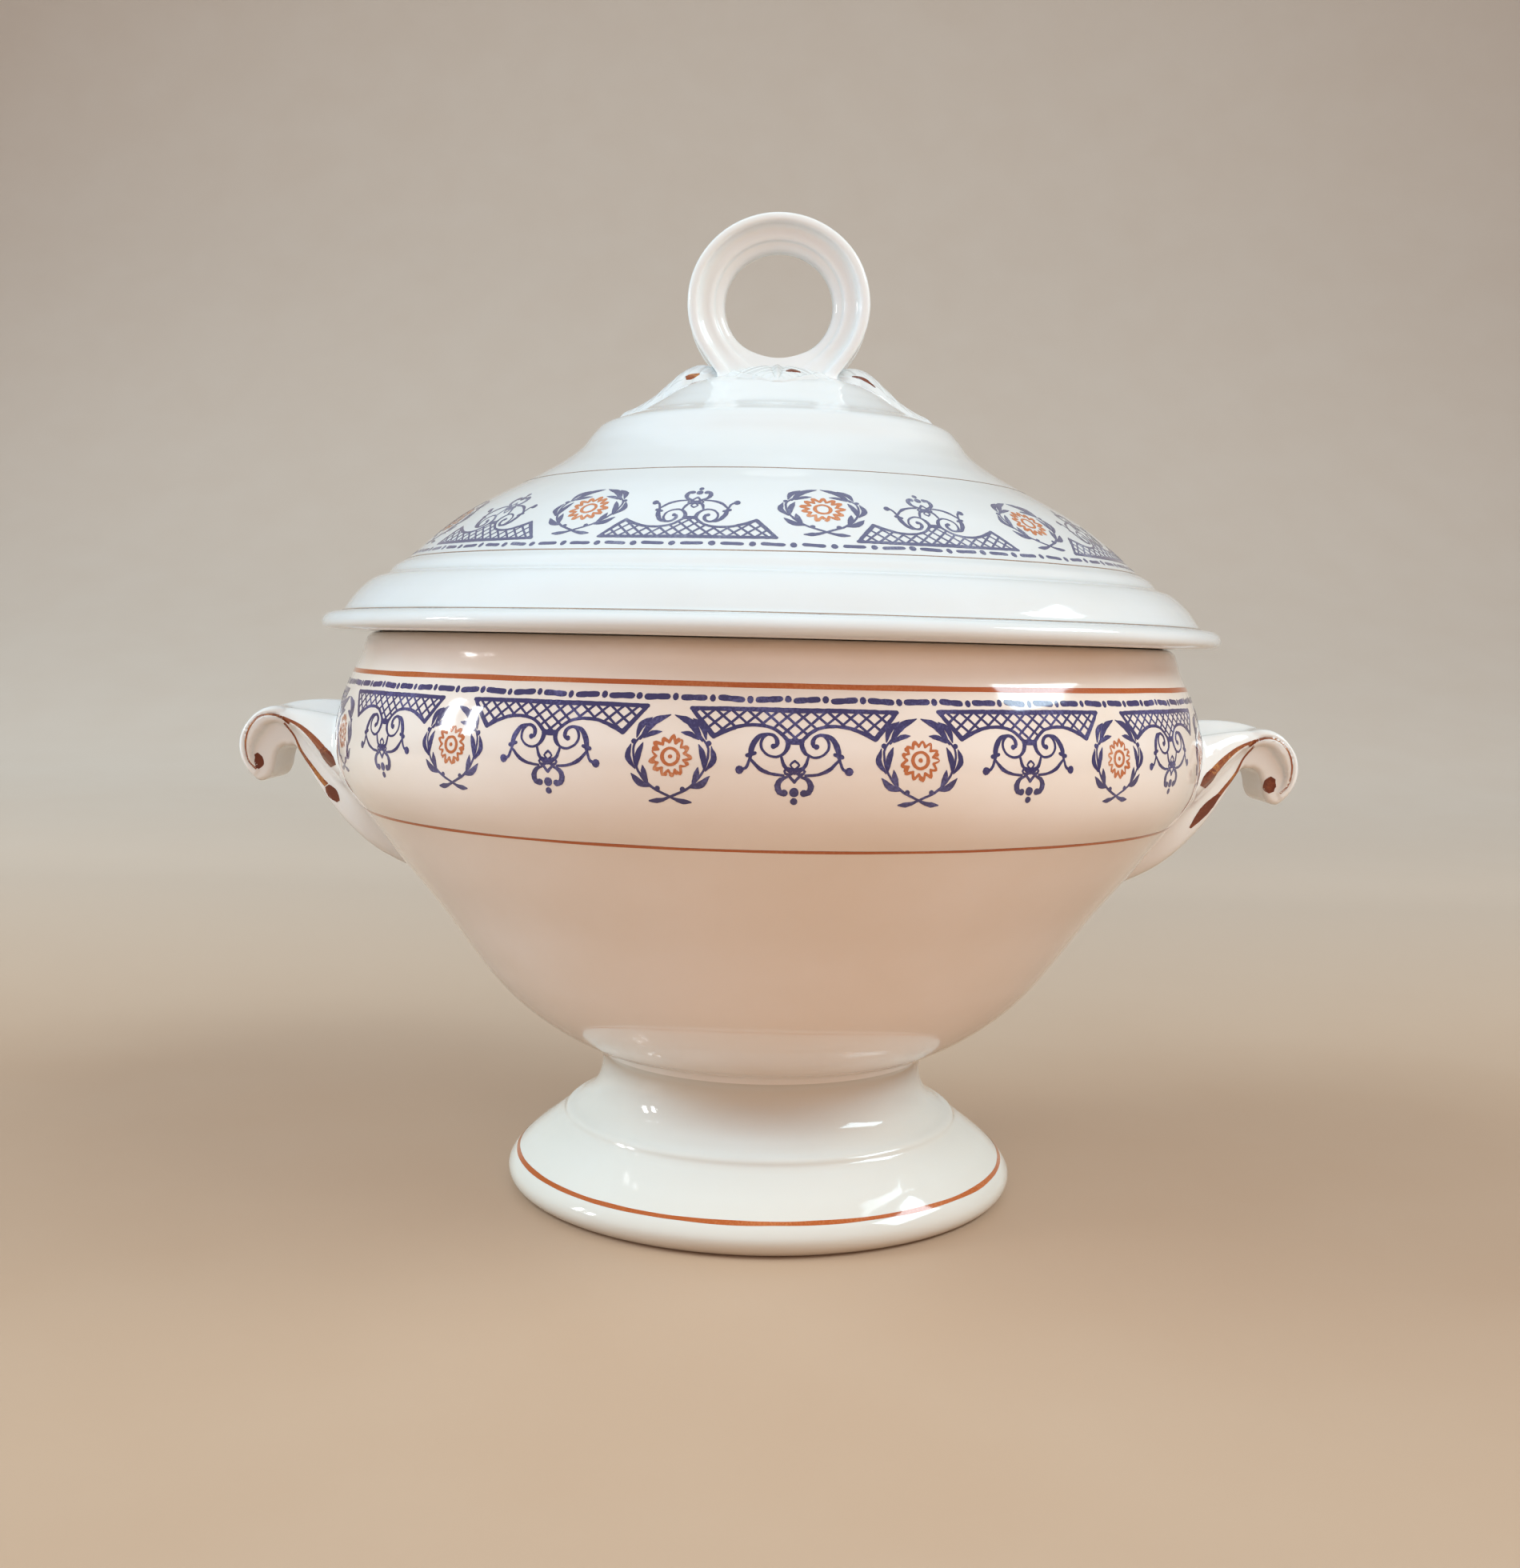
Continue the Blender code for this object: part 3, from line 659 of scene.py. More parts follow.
def carve_volute(points):
    """Crescent-shaped hollow inside the rolled rim on both ends of the volute."""
    rim = spline(VOLUTE_RIM, 0.2)
    inward = -normals_2d(rim)
    share = np.linspace(0.0, 1.0, len(rim))
    width = np.interp(share, (0.0, 0.2, 0.45, 0.62, 0.8, 1.0), (0.6, 2.0, 3.4, 3.0, 1.6, 0.7))
    depth = np.interp(share, (0.0, 0.2, 0.5, 0.75, 1.0), (0.4, 1.5, 2.3, 1.6, 0.4))
    for i in np.nonzero((np.abs(points[:, 1]) > VOLUTE_FACE) & (points[:, 0] > VOLUTE_START_X))[0]:
        flat = points[i, [0, 2]]
        nearest = int(np.argmin(np.linalg.norm(rim - flat, axis=1)))
        away = float(np.dot(flat - rim[nearest], inward[nearest]))
        if nearest in (0, len(rim) - 1) and np.linalg.norm(flat - rim[nearest]) > abs(away) + 0.3:
            continue
        q = away / width[nearest]
        cut = depth[nearest] * float(smooth_step(q, -0.05, 0.18) * smooth_step(-q, -1.25, -0.75))
        roll = 0.35 * math.exp(-((away + 0.9) / 0.7) ** 2)
        points[i, 1] += math.copysign(roll - cut, points[i, 1])
    return points


def make_handle_skin(bowl_surface):
    """Right handle's skin, with a carved volute and its root settled on the bowl."""
    points, faces = welded([lofted(hood_points()), lofted(volute_points())])
    points = carve_volute(points)
    flat = np.hypot(points[:, 0], points[:, 1])
    heights = -bowl_surface.line[:, 1]
    slope_r = np.interp(-points[:, 2], heights, bowl_surface.normal[:, 0])
    slope_z = np.interp(-points[:, 2], heights, bowl_surface.normal[:, 1])
    clearance = (flat - bowl_surface.radius_at(points[:, 2])) * slope_r
    sink = np.stack([points[:, 0] / flat * slope_r, points[:, 1] / flat * slope_r, slope_z], axis=1)
    return settle(points, faces, clearance, sink), faces


# ---------------------------------------------------------------- printed motifs, in mm
# x runs round the pot, y away from the painted line that the motif hangs from

INK_SPREAD = 0.1                # how much wider a printed stroke comes out than it is drawn
INK_RISE = 0.04                 # how far ink stands above and reaches below the clay's surface
INK_ROOT = 0.03


def even_widths(widths, count):
    """Widths given evenly along a stroke, at count places."""
    return np.interp(np.linspace(0.0, 1.0, count), np.linspace(0.0, 1.0, len(widths)), widths)


def stroke(points, widths, step=0.8):
    """Polygons of a pen stroke with round ends; widths are spread evenly along it."""
    line = spline(points, step)
    half = (even_widths(widths, len(line))[:, None] + INK_SPREAD) / 2.0
    side = normals_2d(line) * half
    left, right = line + side, line - side
    polygons = []
    for i in range(len(line) - 1):
        polygons += [[left[i], left[i + 1], right[i + 1]], [left[i], right[i + 1], right[i]]]
    return polygons + [disc(line[0], half[0, 0]), disc(line[-1], half[-1, 0])]


def disc(centre, radius, sides=9):
    angles = np.arange(sides) * math.tau / sides
    return [np.array([centre[0] + radius * math.cos(a), centre[1] + radius * math.sin(a)])
            for a in angles]


def area(polygon):
    """Signed area, positive when the points run anticlockwise."""
    x, y = np.array(polygon).T
    return float(np.dot(x, np.roll(y, -1)) - np.dot(y, np.roll(x, -1))) / 2.0


def mirrored(polygons):
    return polygons + [[np.array([-x, y]) for x, y in polygon] for polygon in polygons]


def union(polygons, clipped=(), window=None):
    """Points and triangles covered by any polygon, and by the clipped ones inside the window."""
    shapes = list(polygons) + list(clipped) + ([window] if window is not None else [])
    points, faces = [], []
    for shape in shapes:
        faces.append(list(range(len(points), len(points) + len(shape))))
        points += [Vector(point) for point in (shape if area(shape) > 0.0 else shape[::-1])]
    made = delaunay_2d_cdt(points, [], faces, 1, 0.002)
    made_points = np.array([tuple(point) for point in made[0]])
    first_clipped, first_window = len(polygons), len(polygons) + len(clipped)
    triangles = []
    for triangle, sources in zip(made[2], made[5]):
        middle = made_points[list(triangle)].mean(axis=0)
        held = [source for source in sources if source < first_window and inside(middle, shapes[source])]
        in_window = any(source >= first_window for source in sources)
        if held and (min(held) < first_clipped or in_window):
            triangles.append(list(triangle))
    return tidy_triangles(made_points, triangles)


def inside(point, polygon):
    """Whether a point lies in a convex polygon, whichever way it turns."""
    corners = np.array(polygon)
    edges = np.roll(corners, -1, axis=0) - corners
    turns = edges[:, 0] * (point[1] - corners[:, 1]) - edges[:, 1] * (point[0] - corners[:, 0])
    return bool((turns > -1e-6).all() or (turns < 1e-6).all())


def tidy_triangles(points, triangles):
    """Only the points in use, every triangle turned the same way, slivers left out."""
    kept = []
    for a, b, c in triangles:
        size = area(points[[a, b, c]])
        if abs(size) > 1e-5:
            kept.append((a, b, c) if size > 0.0 else (a, c, b))
    used = sorted({i for triangle in kept for i in triangle})
    index = {old: new for new, old in enumerate(used)}
    return points[used], [tuple(index[i] for i in triangle) for triangle in kept]


PANEL_TOP = 5.6
PANEL_CORNERS = [(22.8, PANEL_TOP), (20, 8.9), (17.6, 11.7)]
PANEL_ARCH = [
    (17.6, 11.7), (14.4, 10.2), (11.3, 9.2), (8.8, 9), (6.4, 9.2), (4.3, 9.9), (2.7, 11.1),
    (1.5, 12.4),
]
PANEL_SCROLL = [
    (1.4, 12.4), (1.65, 14), (2.6, 15.3), (4, 15.9), (5.7, 15.6), (7.1, 14.3), (7.35, 13), (6.9, 11.8),
    (5.9, 11), (4.6, 11.3), (3.85, 12.4), (4, 13.4), (4.7, 13.7),
]
PANEL_SWAG = [
    (5.9, 10.9), (7.6, 11.4), (8.8, 12.9), (9.4, 14.5), (9.5, 15.8), (9.9, 17.2), (10.5, 18.4),
    (11.6, 18.9),
]
# The right half of a panel: strokes as path, widths and step, then dots as centre and radius
PANEL_STROKES = [
    ([(0.0, PANEL_TOP), (8.0, PANEL_TOP - 0.1), (22.8, PANEL_TOP)], [1.1, 0.95, 0.85], 0.8),
    (PANEL_CORNERS, [0.7, 1.0, 1.1], 0.8),
    (PANEL_ARCH, [1.0, 0.8, 0.7, 0.65, 0.65, 0.8], 0.8),
    ([(0.0, 12.6), (1.5, 12.5)], [1.1, 1.2], 0.8),
    (PANEL_SCROLL, [1.1, 0.9, 0.5, 0.45, 0.45, 0.5, 0.55, 0.6, 0.7, 0.9, 0.7], 0.6),
    (PANEL_SWAG, [0.4, 0.8, 1.1, 1.2, 1.1, 0.5, 0.55, 0.7], 0.8),
    ([(8.6, 15.2), (10.2, 15.7)], [0.7, 0.9], 0.8),
    ([(9.4, 16.6), (7.4, 18.6), (5.0, 19.6), (2.4, 19.9)], [0.5, 0.8, 0.55, 0.5], 0.8),
    ([(2.9, 15.9), (2.3, 17.7), (0.9, 19.2)], [0.5, 0.7, 0.6], 0.8),
    ([(0.0, 16.7), (0.95, 17.6), (0.0, 18.6)], [0.4, 0.4], 0.8),
    ([(0.3, 18.9), (1.4, 18.3), (2.2, 19.0), (1.5, 19.8), (0.2, 19.3)], [0.5, 0.45], 0.8),
    ([(1.5, 19.6), (0.0, 21.3)], [0.5, 0.6], 0.8),
    ([(1.5, 20.2), (2.9, 20.8), (3.6, 22.2), (3.1, 23.6), (2.2, 23.8)], [0.4, 0.9, 1.3, 1.2, 1.3], 0.8),
]
PANEL_DOTS = [
    ((4.65, 13.6), 0.62), ((11.8, 18.9), 0.95), ((2.1, 23.75), 0.8), ((0, 23.6), 1.05),
    ((0, 25.6), 0.8), ((0, 19.2), 0.55),
]
LATTICE_PITCH = 3.5
LATTICE_SLOPE = 0.86
LATTICE_REACH = 24.0
LATTICE_COUNT = 12              # diagonals on each side of the middle one


def panel_motif():
    """Hanging lattice panel with two volutes, swags, a knot and a heart-shaped drop."""
    edge = np.concatenate([spline(PANEL_CORNERS, 1.2), spline(PANEL_ARCH, 0.8)[1:]])
    window = list(edge) + [np.array([-x, y]) for x, y in edge[::-1]]
    sides = []
    for path, widths, step in PANEL_STROKES:
        sides += stroke(path, widths, step)
    sides += [disc(centre, radius) for centre, radius in PANEL_DOTS]
    lattice = []
    rise = LATTICE_REACH * LATTICE_SLOPE
    for i in range(-LATTICE_COUNT, LATTICE_COUNT + 1):
        start = i * LATTICE_PITCH
        lattice += stroke([(start - LATTICE_REACH, PANEL_TOP - rise),
                           (start + LATTICE_REACH, PANEL_TOP + rise)], [0.48], 6.0)
    return union(mirrored(sides), mirrored(lattice), window)


WREATH_STEM = [(0, 25.2), (4.2, 23), (7, 19.8), (8.2, 16.4), (8.1, 13.8), (7, 12.3), (5.4, 10.6)]
WREATH_TAIL = [(0, 25.2), (-1.6, 25.9), (-3, 26.2), (-4.6, 26.3)]
# Leaves of one branch as root, middle, tip and width
WREATH_LEAVES = [
    ((6.9, 12.8), (4.2, 8.8), (0.5, 7.1), 1.7), ((7.7, 12.3), (6.9, 9.6), (4.6, 7.8), 1.4),
    ((6.1, 12.4), (4.3, 11.3), (2.2, 10.9), 1.1), ((7.8, 19.2), (9.5, 16.6), (8.9, 13.9), 1.3),
    ((7.4, 18.7), (7.2, 16.2), (6.2, 13.5), 1.3), ((4.9, 22.8), (5.7, 20.6), (6.1, 18.5), 1.3),
    ((4.2, 23), (6.7, 22.3), (8.7, 20.3), 1.5),
]
WREATH_HEIGHT = 32.3            # turned upside down on the lid about this height
ROSETTE_CENTRE = 16.3
ROSETTE_PETALS = 13
BORDER_CENTRE = 3.2


def wreath_motif():
    """Two leafy branches, crossed at the bottom and open at the top."""
    sides = stroke(WREATH_STEM, [0.45, 0.5, 0.45, 0.4, 0.4, 0.3])
    sides += stroke(WREATH_TAIL, [0.45, 0.7, 1.2, 0.3])
    for root, middle, tip, width in WREATH_LEAVES:
        sides += stroke([root, middle, tip], [0.2, 0.7 * width, width, 0.8 * width, 0.12], 0.6)
    sides += [disc((8.3, 13.2), 0.62), disc((2.8, 23.4), 0.6)]
    return union(mirrored(sides))


def rosette_motif(draw, solid):
    """Flower inside the wreath: a zigzag of petals, an inner ring and a dot, broken where not solid."""
    centre = np.array([0.0, ROSETTE_CENTRE])

    def at(radius, turns):
        return centre + radius * np.array([math.cos(turns * math.tau), math.sin(turns * math.tau)])

    polygons = []
    for i in range(ROSETTE_PETALS):
        tip = (i + draw.uniform(-0.12, 0.12)) / ROSETTE_PETALS
        reach = draw.uniform(4.5, 5.0) if solid else draw.uniform(4.1, 4.7)
        thick = draw.uniform(0.8, 1.1) if solid else draw.uniform(0.1, 0.7)
        start = at(3.1, (i - 0.5) / ROSETTE_PETALS)
        valley = at(draw.uniform(3.0, 3.3), (i + 0.5) / ROSETTE_PETALS)
        polygons += stroke([start, at(reach, tip), valley], [0.5, thick, 0.5], 0.5)
        if not solid:
            polygons += [disc(at(4.0, tip + draw.uniform(-0.03, 0.03)), draw.uniform(0.2, 0.6), 7)]
    ring = [at(1.8, turns) for turns in np.linspace(0.0, 1.0, 17)]
    polygons += stroke(ring, [0.75, 0.55, 0.75, 0.5, 0.7], 0.6)
    return union(polygons + ([] if solid else [disc(centre, 0.5)]))


def border_motif(pitch, draw, reach_share, thick):
    """One dash and one bead of the border, pitch mm long; the dash has half that share of it."""
    rise = draw.uniform(-0.2, 0.2)
    reach = draw.uniform(0.96, 1.04) * reach_share * pitch
    widths = np.array([1.3, 1.4, draw.uniform(1.1, 1.3), 1.4, 1.3]) * thick
    dash = stroke([(-reach, BORDER_CENTRE + rise), (reach, BORDER_CENTRE - rise)], widths)
    squeeze = np.array((draw.uniform(0.65, 0.8), draw.uniform(0.85, 0.95)))
    bead = [point * squeeze + (0.5 * pitch, BORDER_CENTRE - rise) for point in disc((0.0, 0.0), 1.0)]
    return union(dash + [bead])


class Print:
    """Thin closed plates of ink on a turned surface, gathered into one piece."""

    def __init__(self, surface, line_arc, away):
        self.surface = surface
        self.line_arc = line_arc
        self.away = away                # +1: y runs down the pot from the line, -1: up
        self.points, self.normals, self.faces = [], [], []

    def lay(self, motif, degrees, radius, drop=0.0, flip=None, stretch=1.0):
        """Lays a motif with its x=0 at an angle; flip turns it upside down about that height."""
        flat, triangles = motif
        x, y = flat[:, 0] * stretch, flat[:, 1]
        y = (flip - y if flip is not None else y) + drop
        seed = Vector((degrees, radius, 0.0))
        for i in range(len(x)):
            spot = Vector((x[i], y[i], 0.0)) * 0.9 + seed
            x[i] += 0.09 * noise.noise(spot)
            y[i] += 0.09 * noise.noise(spot + Vector((0.0, 0.0, 7.0)))
        turned_over = (self.away < 0) != (flip is not None)
        angle = math.radians(degrees) + x / radius
        arc = self.line_arc + self.away * y
        base = len(self.points)
        for lift in (INK_RISE, -INK_ROOT):
            points, normals = self.surface.place(angle, arc, lift)
            self.points += list(points)
            self.normals += list(normals)
        count = len(x)
        edges = {}
        for a, b, c in triangles:
            if turned_over:
                b, c = c, b
            self.faces.append((base + a, base + c, base + b))
            self.faces.append((base + count + a, base + count + b, base + count + c))
            for edge in ((a, c), (c, b), (b, a)):
                edges[edge] = edges.get(edge, 0) + 1
        for a, b in edges:
            if (b, a) not in edges:
                self.faces.append((base + b, base + a, base + count + a, base + count + b))

    def finish(self, name, material, body, slot):
        return add_mesh(name, self.points, self.faces, material, body, slot, self.normals)


def painted_line(name, surface, height, width, material, body, slot, seed):
    """Brushed line round the pot, with a hand's slight waver in height and thickness."""
    around, across = 360, 5
    angles = np.arange(around) * math.tau / around
    middle = surface.arc_at(height)
    centre, breadth = [], []
    for a in angles:
        spot = Vector((math.cos(a), math.sin(a), seed))
        centre.append(middle + 0.22 * noise.noise(spot * 1.7) + 0.06 * noise.noise(spot * 9.0))
        breadth.append(width * (1.0 + 0.28 * noise.noise(spot * 5.0 + Vector((0, 0, 3.0)))))
    centre, breadth = np.array(centre), np.array(breadth)
    points, normals = [], []
    edges = [(share, INK_RISE) for share in np.linspace(-0.5, 0.5, across)]
    for share, lift in edges + [(0.5, -INK_ROOT), (-0.5, -INK_ROOT)]:
        placed = surface.place(angles, centre + breadth * share, lift)
        points += list(placed[0])
        normals += list(placed[1])
    faces = [face[::-1] for face in grid_faces(across + 2, around, True, True)]
    add_mesh(name, points, faces, material, body, slot, normals)


def brush(points, faces, path, widths, swell=0.05):
    """Closed thin dab of paint on a skin, along a path of (x, y, z) seen from the front."""
    tree = BVHTree.FromPolygons([Vector(point) for point in points], faces)
    eye = Vector((0.0, -CAMERA_DISTANCE, CAMERA_HEIGHT)) / MM
    line = spline(path, 0.3)
    half = even_widths(widths, len(line)) / 2.0
    run = np.gradient(line, axis=0)
    across = 7
    top, below = [], []
    for i, centre in enumerate(line):
        view = np.array(centre) - np.array(eye)
        side = np.cross(run[i], view)
        side /= np.linalg.norm(side)
        for k in np.linspace(-1.0, 1.0, across):
            wave = 0.06 * noise.noise(Vector(centre) * 1.3 + Vector((k, 0.0, 0.0)))
            target = Vector(centre + side * half[i] * k * (1.0 + wave))
            hit, normal = tree.ray_cast(eye, (target - eye).normalized())[:2]
            if hit is None:
                hit, normal = tree.find_nearest(target)[:2]
            top.append(hit + normal * swell)
            below.append(hit - normal * swell)
    rows = len(line)
    grid = grid_faces(rows, across)
    count = rows * across
    made = list(grid) + [tuple(count + i for i in reversed(face)) for face in grid]
    border = [i for i in range(across)] + [i * across + across - 1 for i in range(1, rows)]
    border += [(rows - 1) * across + i for i in range(across - 2, -1, -1)]
    border += [i * across for i in range(rows - 2, 0, -1)]
    for a, b in zip(border, border[1:] + border[:1]):
        made.append((b, a, count + a, count + b))
    return np.array([tuple(point) for point in top + below]), made


def gather(dabs):
    """Joins dabs, and their mirror images on the rear."""
    points, faces = [], []
    for flip in (1.0, -1.0):
        for dab_points, dab_faces in dabs:
            base = len(points)
            points += (dab_points * (1.0, flip, 1.0)).tolist()
            for face in dab_faces:
                faces.append(tuple(base + i for i in (face if flip > 0.0 else reversed(face))))
    return np.array(points), faces


# Painted strokes on a handle as (x, y, z) on its front face, seen on the right-hand side
RIM_STROKE = [
    (135.6, -11, 129.4), (137.5, -11, 130.8), (141, -11, 131.8), (144.3, -11, 131),
    (146.7, -11, 128.5), (148, -11, 124.5), (147.9, -11, 121), (147, -11, 118.2), (145, -11, 116.2),
]
EYE_STROKE = [(144.3, -11, 120.6), (143.6, -11, 119.4), (143.4, -11, 117.8), (144, -11, 116.4)]
UPPER_STROKE = [(137.2, -12, 131.2), (132.5, -12, 128.8), (128.6, -12, 125.4), (125.4, -12, 121.6)]
UPPER_END = [(126.2, -12, 122.6), (124.4, -12, 120.2), (122.9, -12, 117.6)]
LOWER_STROKE = [
    (136.8, -12, 129.5), (134, -12, 126), (132, -12, 121.8), (128.8, -12, 117.2), (126.4, -12, 114),
    (124.8, -12, 112.2),
]
# What differs between the two handles' painting
HANDLE_PAINT = {
    "right_handle": SimpleNamespace(
        side=1.0, eye_shift=-1.4, eye_widths=[1.5, 3.3, 3.7, 1.4],
        end=[(127.6, -12, 115.6), (124.2, -12, 111.6), (119.8, -12, 105.9)],
        end_widths=[0.9, 2.1, 2.5, 1.8, 0.5]),
    "left_handle": SimpleNamespace(
        side=-1.0, eye_shift=0.8, eye_widths=[1.0, 2.3, 2.7, 1.0],
        end=[(124.6, -12, 112), (123, -12, 109.8), (121.4, -12, 107.6)],
        end_widths=[1.3, 2.5, 2.8, 2.2, 0.9]),
}


def make_handles(bowl_surface, clay, inks):
    """Both handles, the left one turned half round, each with dark and gold paint."""
    points, faces = make_handle_skin(bowl_surface)
    for node, paint in HANDLE_PAINT.items():
        eye = [(x + paint.eye_shift, y, z) for x, y, z in EYE_STROKE]
        dark = gather([
            brush(points, faces, eye, paint.eye_widths),
            brush(points, faces, UPPER_END, [1.9, 2.6, 2.5, 1.7]),
            brush(points, faces, paint.end, paint.end_widths, 0.06),
        ])
        gold = gather([
            brush(points, faces, RIM_STROKE, [0.9, 0.8, 0.5, 0.55, 0.6, 0.5, 0.4, 0.4, 0.5]),
            brush(points, faces, UPPER_STROKE, [0.5, 0.9, 1.3, 1.8, 2.1]),
            brush(points, faces, LOWER_STROKE, [0.5, 0.5, 0.7, 1.0, 1.3]),
        ])
        turn = np.array((paint.side, paint.side, 1.0))
        add_mesh(node + "_skin", points * turn, faces, clay, "bowl", "handle_glaze", nodes=(node,))
        add_mesh(node + "_dark_paint", dark[0] * turn, dark[1], inks["maroon"], "bowl", "handle_glaze")
        add_mesh(node + "_gold_paint", gold[0] * turn, gold[1], inks["gold"], "bowl", "handle_glaze")


# Printed bands: away is +1 where the motifs run down the pot from their line and -1 where they run
# up; the angles are those in front, and the rest go on round the back
BODY_BAND = SimpleNamespace(
    line_z=145.4, away=1.0, panels=(-50.7, -23.8, 2.75, 29.2, 55.5),
    wreaths=(-65.5, -37.2, -10.1, 16.0, 43.0), repeats=13, panel_radius=120.0, wreath_radius=120.0,
    panel_drop=0.0, waver=0.25, flip=None, solid_rosette=False,
    dashes=90, dash_share=0.28, dash_width=1.0, dash_drop=0.0,
)
LID_BAND = SimpleNamespace(
    line_z=175.5, away=-1.0, panels=(-47.8, -11.9, 23.6, 61.3), wreaths=(-67.0, -29.2, 7.2, 43.8),
    repeats=9, panel_radius=106.0, wreath_radius=87.0,
    panel_drop=-0.9, waver=0.3, flip=WREATH_HEIGHT, solid_rosette=True,
    dashes=68, dash_share=0.23, dash_width=0.8, dash_drop=-0.7,
)


def spread(front, count):
    """Angles as laid across the front, then the rest evenly round the back."""
    gap = (360.0 - (front[-1] - front[0])) / (count - len(front) + 1)
    return list(front) + [front[-1] + gap * (i + 1) for i in range(count - len(front))]


def print_band(name, band, surface, motifs, draw, blue_ink, rust_ink):
    """One printed band: panels, wreaths with rosettes, and a border of dashes and beads."""
    panel, wreath = motifs
    line_arc = surface.arc_at(band.line_z)
    blue, rust = Print(surface, line_arc, band.away), Print(surface, line_arc, band.away)
    for degrees in spread(band.panels, band.repeats):
        drop = band.panel_drop + draw.uniform(-band.waver, band.waver)
        blue.lay(panel, degrees, band.panel_radius, drop)
    for degrees in spread(band.wreaths, band.repeats):
        drop = draw.uniform(-band.waver, band.waver)
        blue.lay(wreath, degrees, band.wreath_radius, drop, band.flip)
        rosette = rosette_motif(draw, band.solid_rosette)
        rust.lay(rosette, degrees, band.wreath_radius, drop, band.flip)
    pitch = math.tau * band.wreath_radius / band.dashes
    for i in range(band.dashes):
        border = border_motif(pitch, draw, band.dash_share, band.dash_width)
        blue.lay(border, i * 360.0 / band.dashes, band.wreath_radius, band.dash_drop)
    blue.finish(name + "_print_blue", blue_ink, name, name + "_glaze")
    rust.finish(name + "_print_rosettes", rust_ink, name, name + "_glaze")


def print_bands(body_surface, lid_surface, inks):
    """Both printed bands; the draws run on from the bowl's to the lid's."""
    draw = random.Random(7)
    motifs = panel_motif(), wreath_motif()
    print_band("bowl", BODY_BAND, body_surface, motifs, draw, inks["blue"], inks["rust"])
    print_band("lid", LID_BAND, lid_surface, motifs, draw, inks["lid_blue"], inks["lid_rust"])


def paint_lines(body_surface, foot_surface, lid_surface, inks):
    """The six painted lines round bowl, foot and lid."""
    rows = (
        # name, surface, height, width, paint, body, slot
        ("bowl_upper_line", body_surface, BODY_BAND.line_z, 1.3, "ochre", "bowl", "bowl_glaze"),
        ("bowl_lower_line", body_surface, 108.7, 0.85, "ochre", "bowl", "bowl_glaze"),
        ("foot_line", foot_surface, 8.5, 1.25, "ochre", "bowl", "foot_glaze"),
        ("lid_rim_line", lid_surface, 161.3, 0.5, "olive", "lid", "lid_glaze"),
        ("lid_middle_line", lid_surface, LID_BAND.line_z, 0.42, "olive", "lid", "lid_glaze"),
        ("lid_upper_line", lid_surface, 197.4, 0.42, "olive", "lid", "lid_glaze"),
    )
    for seed, (name, surface, height, width, paint, body, slot) in enumerate(rows):
        painted_line(name, surface, height, width, inks[paint], body, slot, seed * 11.0)


# ---------------------------------------------------------------- studio

# Side view of the floor and backdrop as (distance behind the object, height), in metres
FLOOR_LINE = [
    (-5, 0), (-5, 0), (0.6, 0), (0.6, 0), (1.1, 0.06), (1.5, 0.25), (1.85, 0.7), (2, 1.3), (2.05, 2.8),
    (2.05, 2.8),
]
FLOOR_HALF_WIDTH = 5.0
FLOOR_NEAR = (0.46, 0.31, 0.21, 1.0)
FLOOR_FAR = (0.64, 0.55, 0.47, 1.0)
FLOOR_PATCHES = (0.54, 0.41, 0.31, 1.0)

# Lamps as azimuth (0 in front, + to the right), elevation, distance, size, power and colour
LAMP_AIM = Vector((0.0, 0.0, 0.14))
SOFT_LAMPS = {
    "left_side": (-92.0, 34.0, 1.6, (0.9, 0.8), 18.0, (0.62, 0.87, 1.0)),
    "left_sky": (-60.0, 44.0, 1.6, (1.0, 0.8), 5.0, (0.70, 0.90, 1.0)),
    "left_low": (-62.0, 10.0, 1.6, (0.9, 0.4), 4.5, (0.66, 0.84, 1.0)),
    "front_low": (0.0, 20.0, 1.8, (2.4, 0.5), 6.5, (1.0, 0.93, 0.90)),
    "right_sky": (60.0, 44.0, 1.6, (1.0, 0.8), 12.5, (0.80, 0.97, 1.0)),
    "right_low": (72.0, 12.0, 1.6, (0.9, 0.4), 3.0, (0.80, 0.92, 1.0)),
    "warm_bounce": (28.0, 0.0, 1.5, (1.6, 0.5), 5.0, (1.0, 0.46, 0.20)),
}
WINDOWS = {                     # the only lamps that show as highlights in the glaze
    "right_window": (85.0, 38.0, 1.5, (0.75, 0.42), 10.0, (0.70, 0.90, 1.0)),
    "left_window": (-87.0, 18.0, 1.7, (0.10, 0.30), 2.6, (0.96, 0.98, 1.0)),
    "left_window_pane": (-79.0, 17.0, 1.7, (0.08, 0.26), 2.2, (0.96, 0.98, 1.0)),
}
FOOT_LAMPS = {                  # kept on the foot alone, as flags would round a real lamp
    "foot_left": (-88.0, 52.0, 1.6, (0.9, 0.6), 24.0, (0.42, 0.70, 1.0)),
    "foot_right": (78.0, 54.0, 1.6, (0.9, 0.6), 18.0, (0.42, 0.70, 1.0)),
}
SKY_COLOUR = (1.0, 0.88, 0.83, 1.0)
SKY_STRENGTH = 0.36


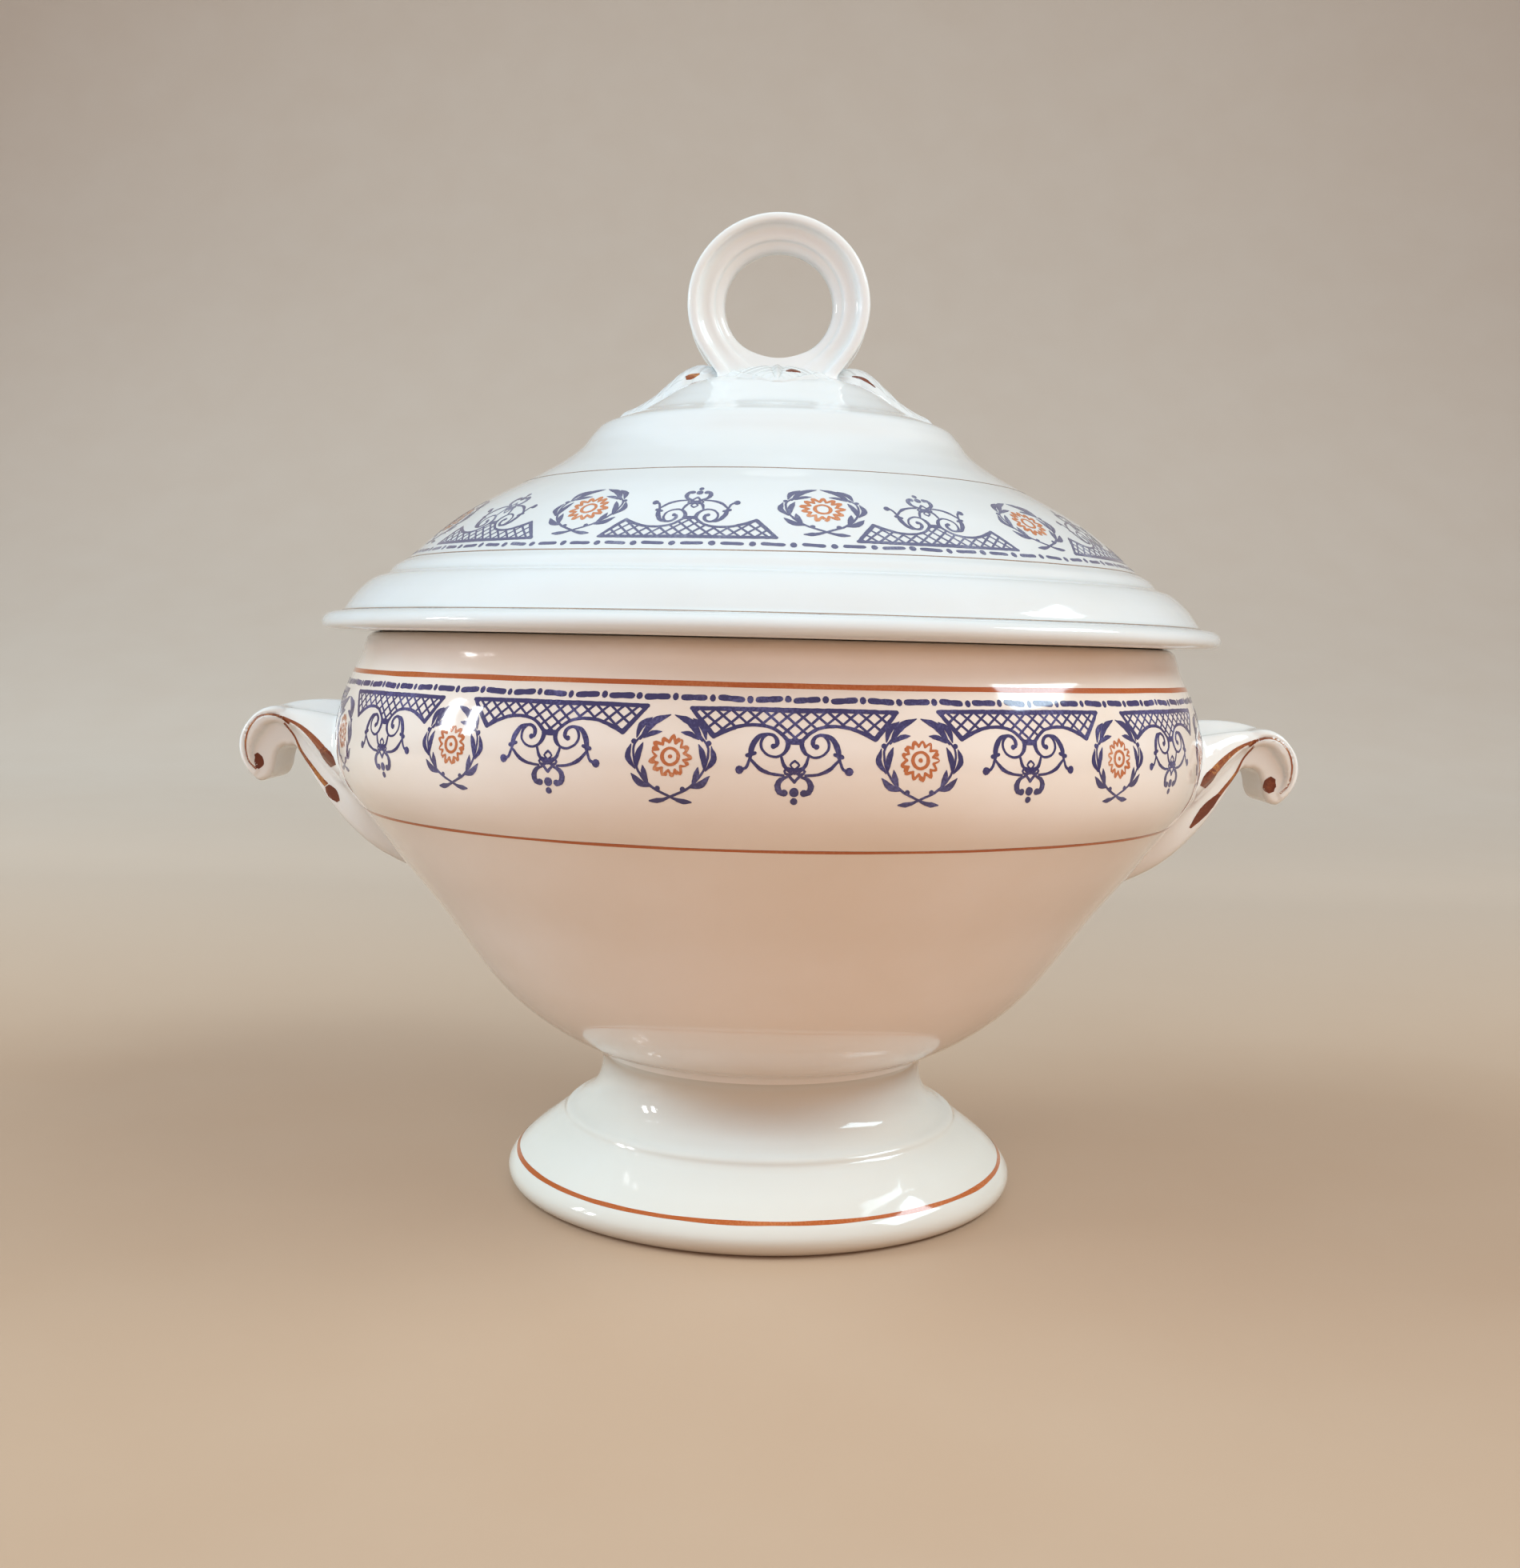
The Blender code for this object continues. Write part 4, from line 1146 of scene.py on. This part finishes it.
def add_floor():
    """Pale floor that sweeps up into a backdrop behind the object."""
    line = spline(FLOOR_LINE, 0.04)
    points = [(x, y, z) for y, z in line for x in (-FLOOR_HALF_WIDTH, FLOOR_HALF_WIDTH)]
    mesh = bpy.data.meshes.new("floor")
    mesh.from_pydata(points, [], grid_faces(len(line), 2))
    mesh.shade_smooth()
    floor = bpy.data.objects.new("floor", mesh)
    bpy.context.scene.collection.objects.link(floor)
    graph = Graph("floor_paper")
    far = graph.remap(graph.add("SeparateXYZ", {"Vector": graph.place}).outputs["Y"], 0.1, 1.0)
    patches = graph.remap(graph.noise(60.0, 5.0), 0.3, 0.7, 0.0, 0.12)
    colour = graph.mix(patches, graph.mix(far, FLOOR_NEAR, FLOOR_FAR), FLOOR_PATCHES)
    graph.feed(graph.shader, {"Base Color": colour, "Roughness": 0.42,
                              "Normal": graph.bump(graph.noise(1.2), 0.01)})
    mesh.materials.append(graph.material)


def add_lamp(name, azimuth, elevation, distance, size, power, colour):
    """Rectangular lamp aimed at the middle of the object."""
    light = bpy.data.lights.new(name, "AREA")
    light.shape = "RECTANGLE"
    light.size, light.size_y = size
    light.energy = power
    light.color = colour
    lamp = bpy.data.objects.new(name, light)
    lamp.visible_glossy = name in WINDOWS
    bpy.context.scene.collection.objects.link(lamp)
    a, e = math.radians(azimuth), math.radians(elevation)
    away = Vector((math.sin(a) * math.cos(e), -math.cos(a) * math.cos(e), math.sin(e)))
    lamp.location = LAMP_AIM + away * distance
    lamp.rotation_euler = away.to_track_quat("Z", "Y").to_euler()
    return lamp


def add_lights():
    """Soft fill lamps, windows, the foot's own lamps and a warm, weak sky."""
    for name, row in (SOFT_LAMPS | WINDOWS).items():
        add_lamp(name, *row)
    lit = bpy.data.collections.new("foot_lit")
    lit.objects.link(bpy.data.objects["foot"])
    for name, row in FOOT_LAMPS.items():
        linking = add_lamp(name, *row).light_linking
        linking.receiver_collection = lit
        linking.blocker_collection = lit
    world = bpy.data.worlds.new("studio")
    world.use_nodes = True
    background = world.node_tree.nodes["Background"]
    background.inputs["Color"].default_value = SKY_COLOUR
    background.inputs["Strength"].default_value = SKY_STRENGTH
    bpy.context.scene.world = world
    bpy.context.scene.view_settings.view_transform = "Standard"


def add_camera():
    """Hand-held view: tilted down, and rolled and turned by a little."""
    camera = bpy.data.objects.new("camera", bpy.data.cameras.new("camera"))
    bpy.context.scene.collection.objects.link(camera)
    camera.data.lens = CAMERA_LENS
    camera.data.sensor_width = 36.0
    camera.data.clip_start = 0.01
    camera.location = (0.0, -CAMERA_DISTANCE, CAMERA_HEIGHT)
    level = Matrix.Rotation(math.radians(90.0) + CAMERA_PITCH, 3, "X")
    turn = Matrix.Rotation(CAMERA_YAW, 3, "Z")
    camera.rotation_euler = (turn @ level @ Matrix.Rotation(CAMERA_ROLL, 3, "Z")).to_euler()
    bpy.context.scene.camera = camera


def main():
    fine_body = spline(BODY_OUTLINE, 0.9)
    body_outer, bowl_line = bowl_lines(fine_body)
    foot_outer, foot_line = foot_lines(fine_body)
    lid_outer = spline(LID_OUTLINE, 0.8)
    body_surface, foot_surface, lid_surface = Turned(body_outer), Turned(foot_outer), Turned(lid_outer)

    # each piece gets its own copy of the one clay, with painted light and shade in its colour
    painted_light_clays = {name: glazed_clay(name, *colours, bare_foot=name == "foot_glaze")
             for name, colours in PAINTED_LIGHT_CLAYS.items()}
    inks = {name: ink(name + "_ink", *look) for name, look in INKS.items()}
    for name, line, node in (("bowl", bowl_line, "bowl_body"), ("foot", foot_line, "pedestal_foot"),
                             ("lid", lid_lines(lid_outer), "lid_shell")):
        body, slot = "lid" if name == "lid" else "bowl", name + "_glaze"
        add_mesh(name, *revolve(line), painted_light_clays[slot], body, slot, nodes=(node,))
    print_bands(body_surface, lid_surface, inks)
    paint_lines(body_surface, foot_surface, lid_surface, inks)
    make_handles(body_surface, painted_light_clays["handle_glaze"], inks)
    make_ring(lid_surface, painted_light_clays["crown_glaze"])
    make_leaves(lid_surface, painted_light_clays["lid_glaze"], inks)
    add_floor()
    add_lights()
    add_camera()


main()
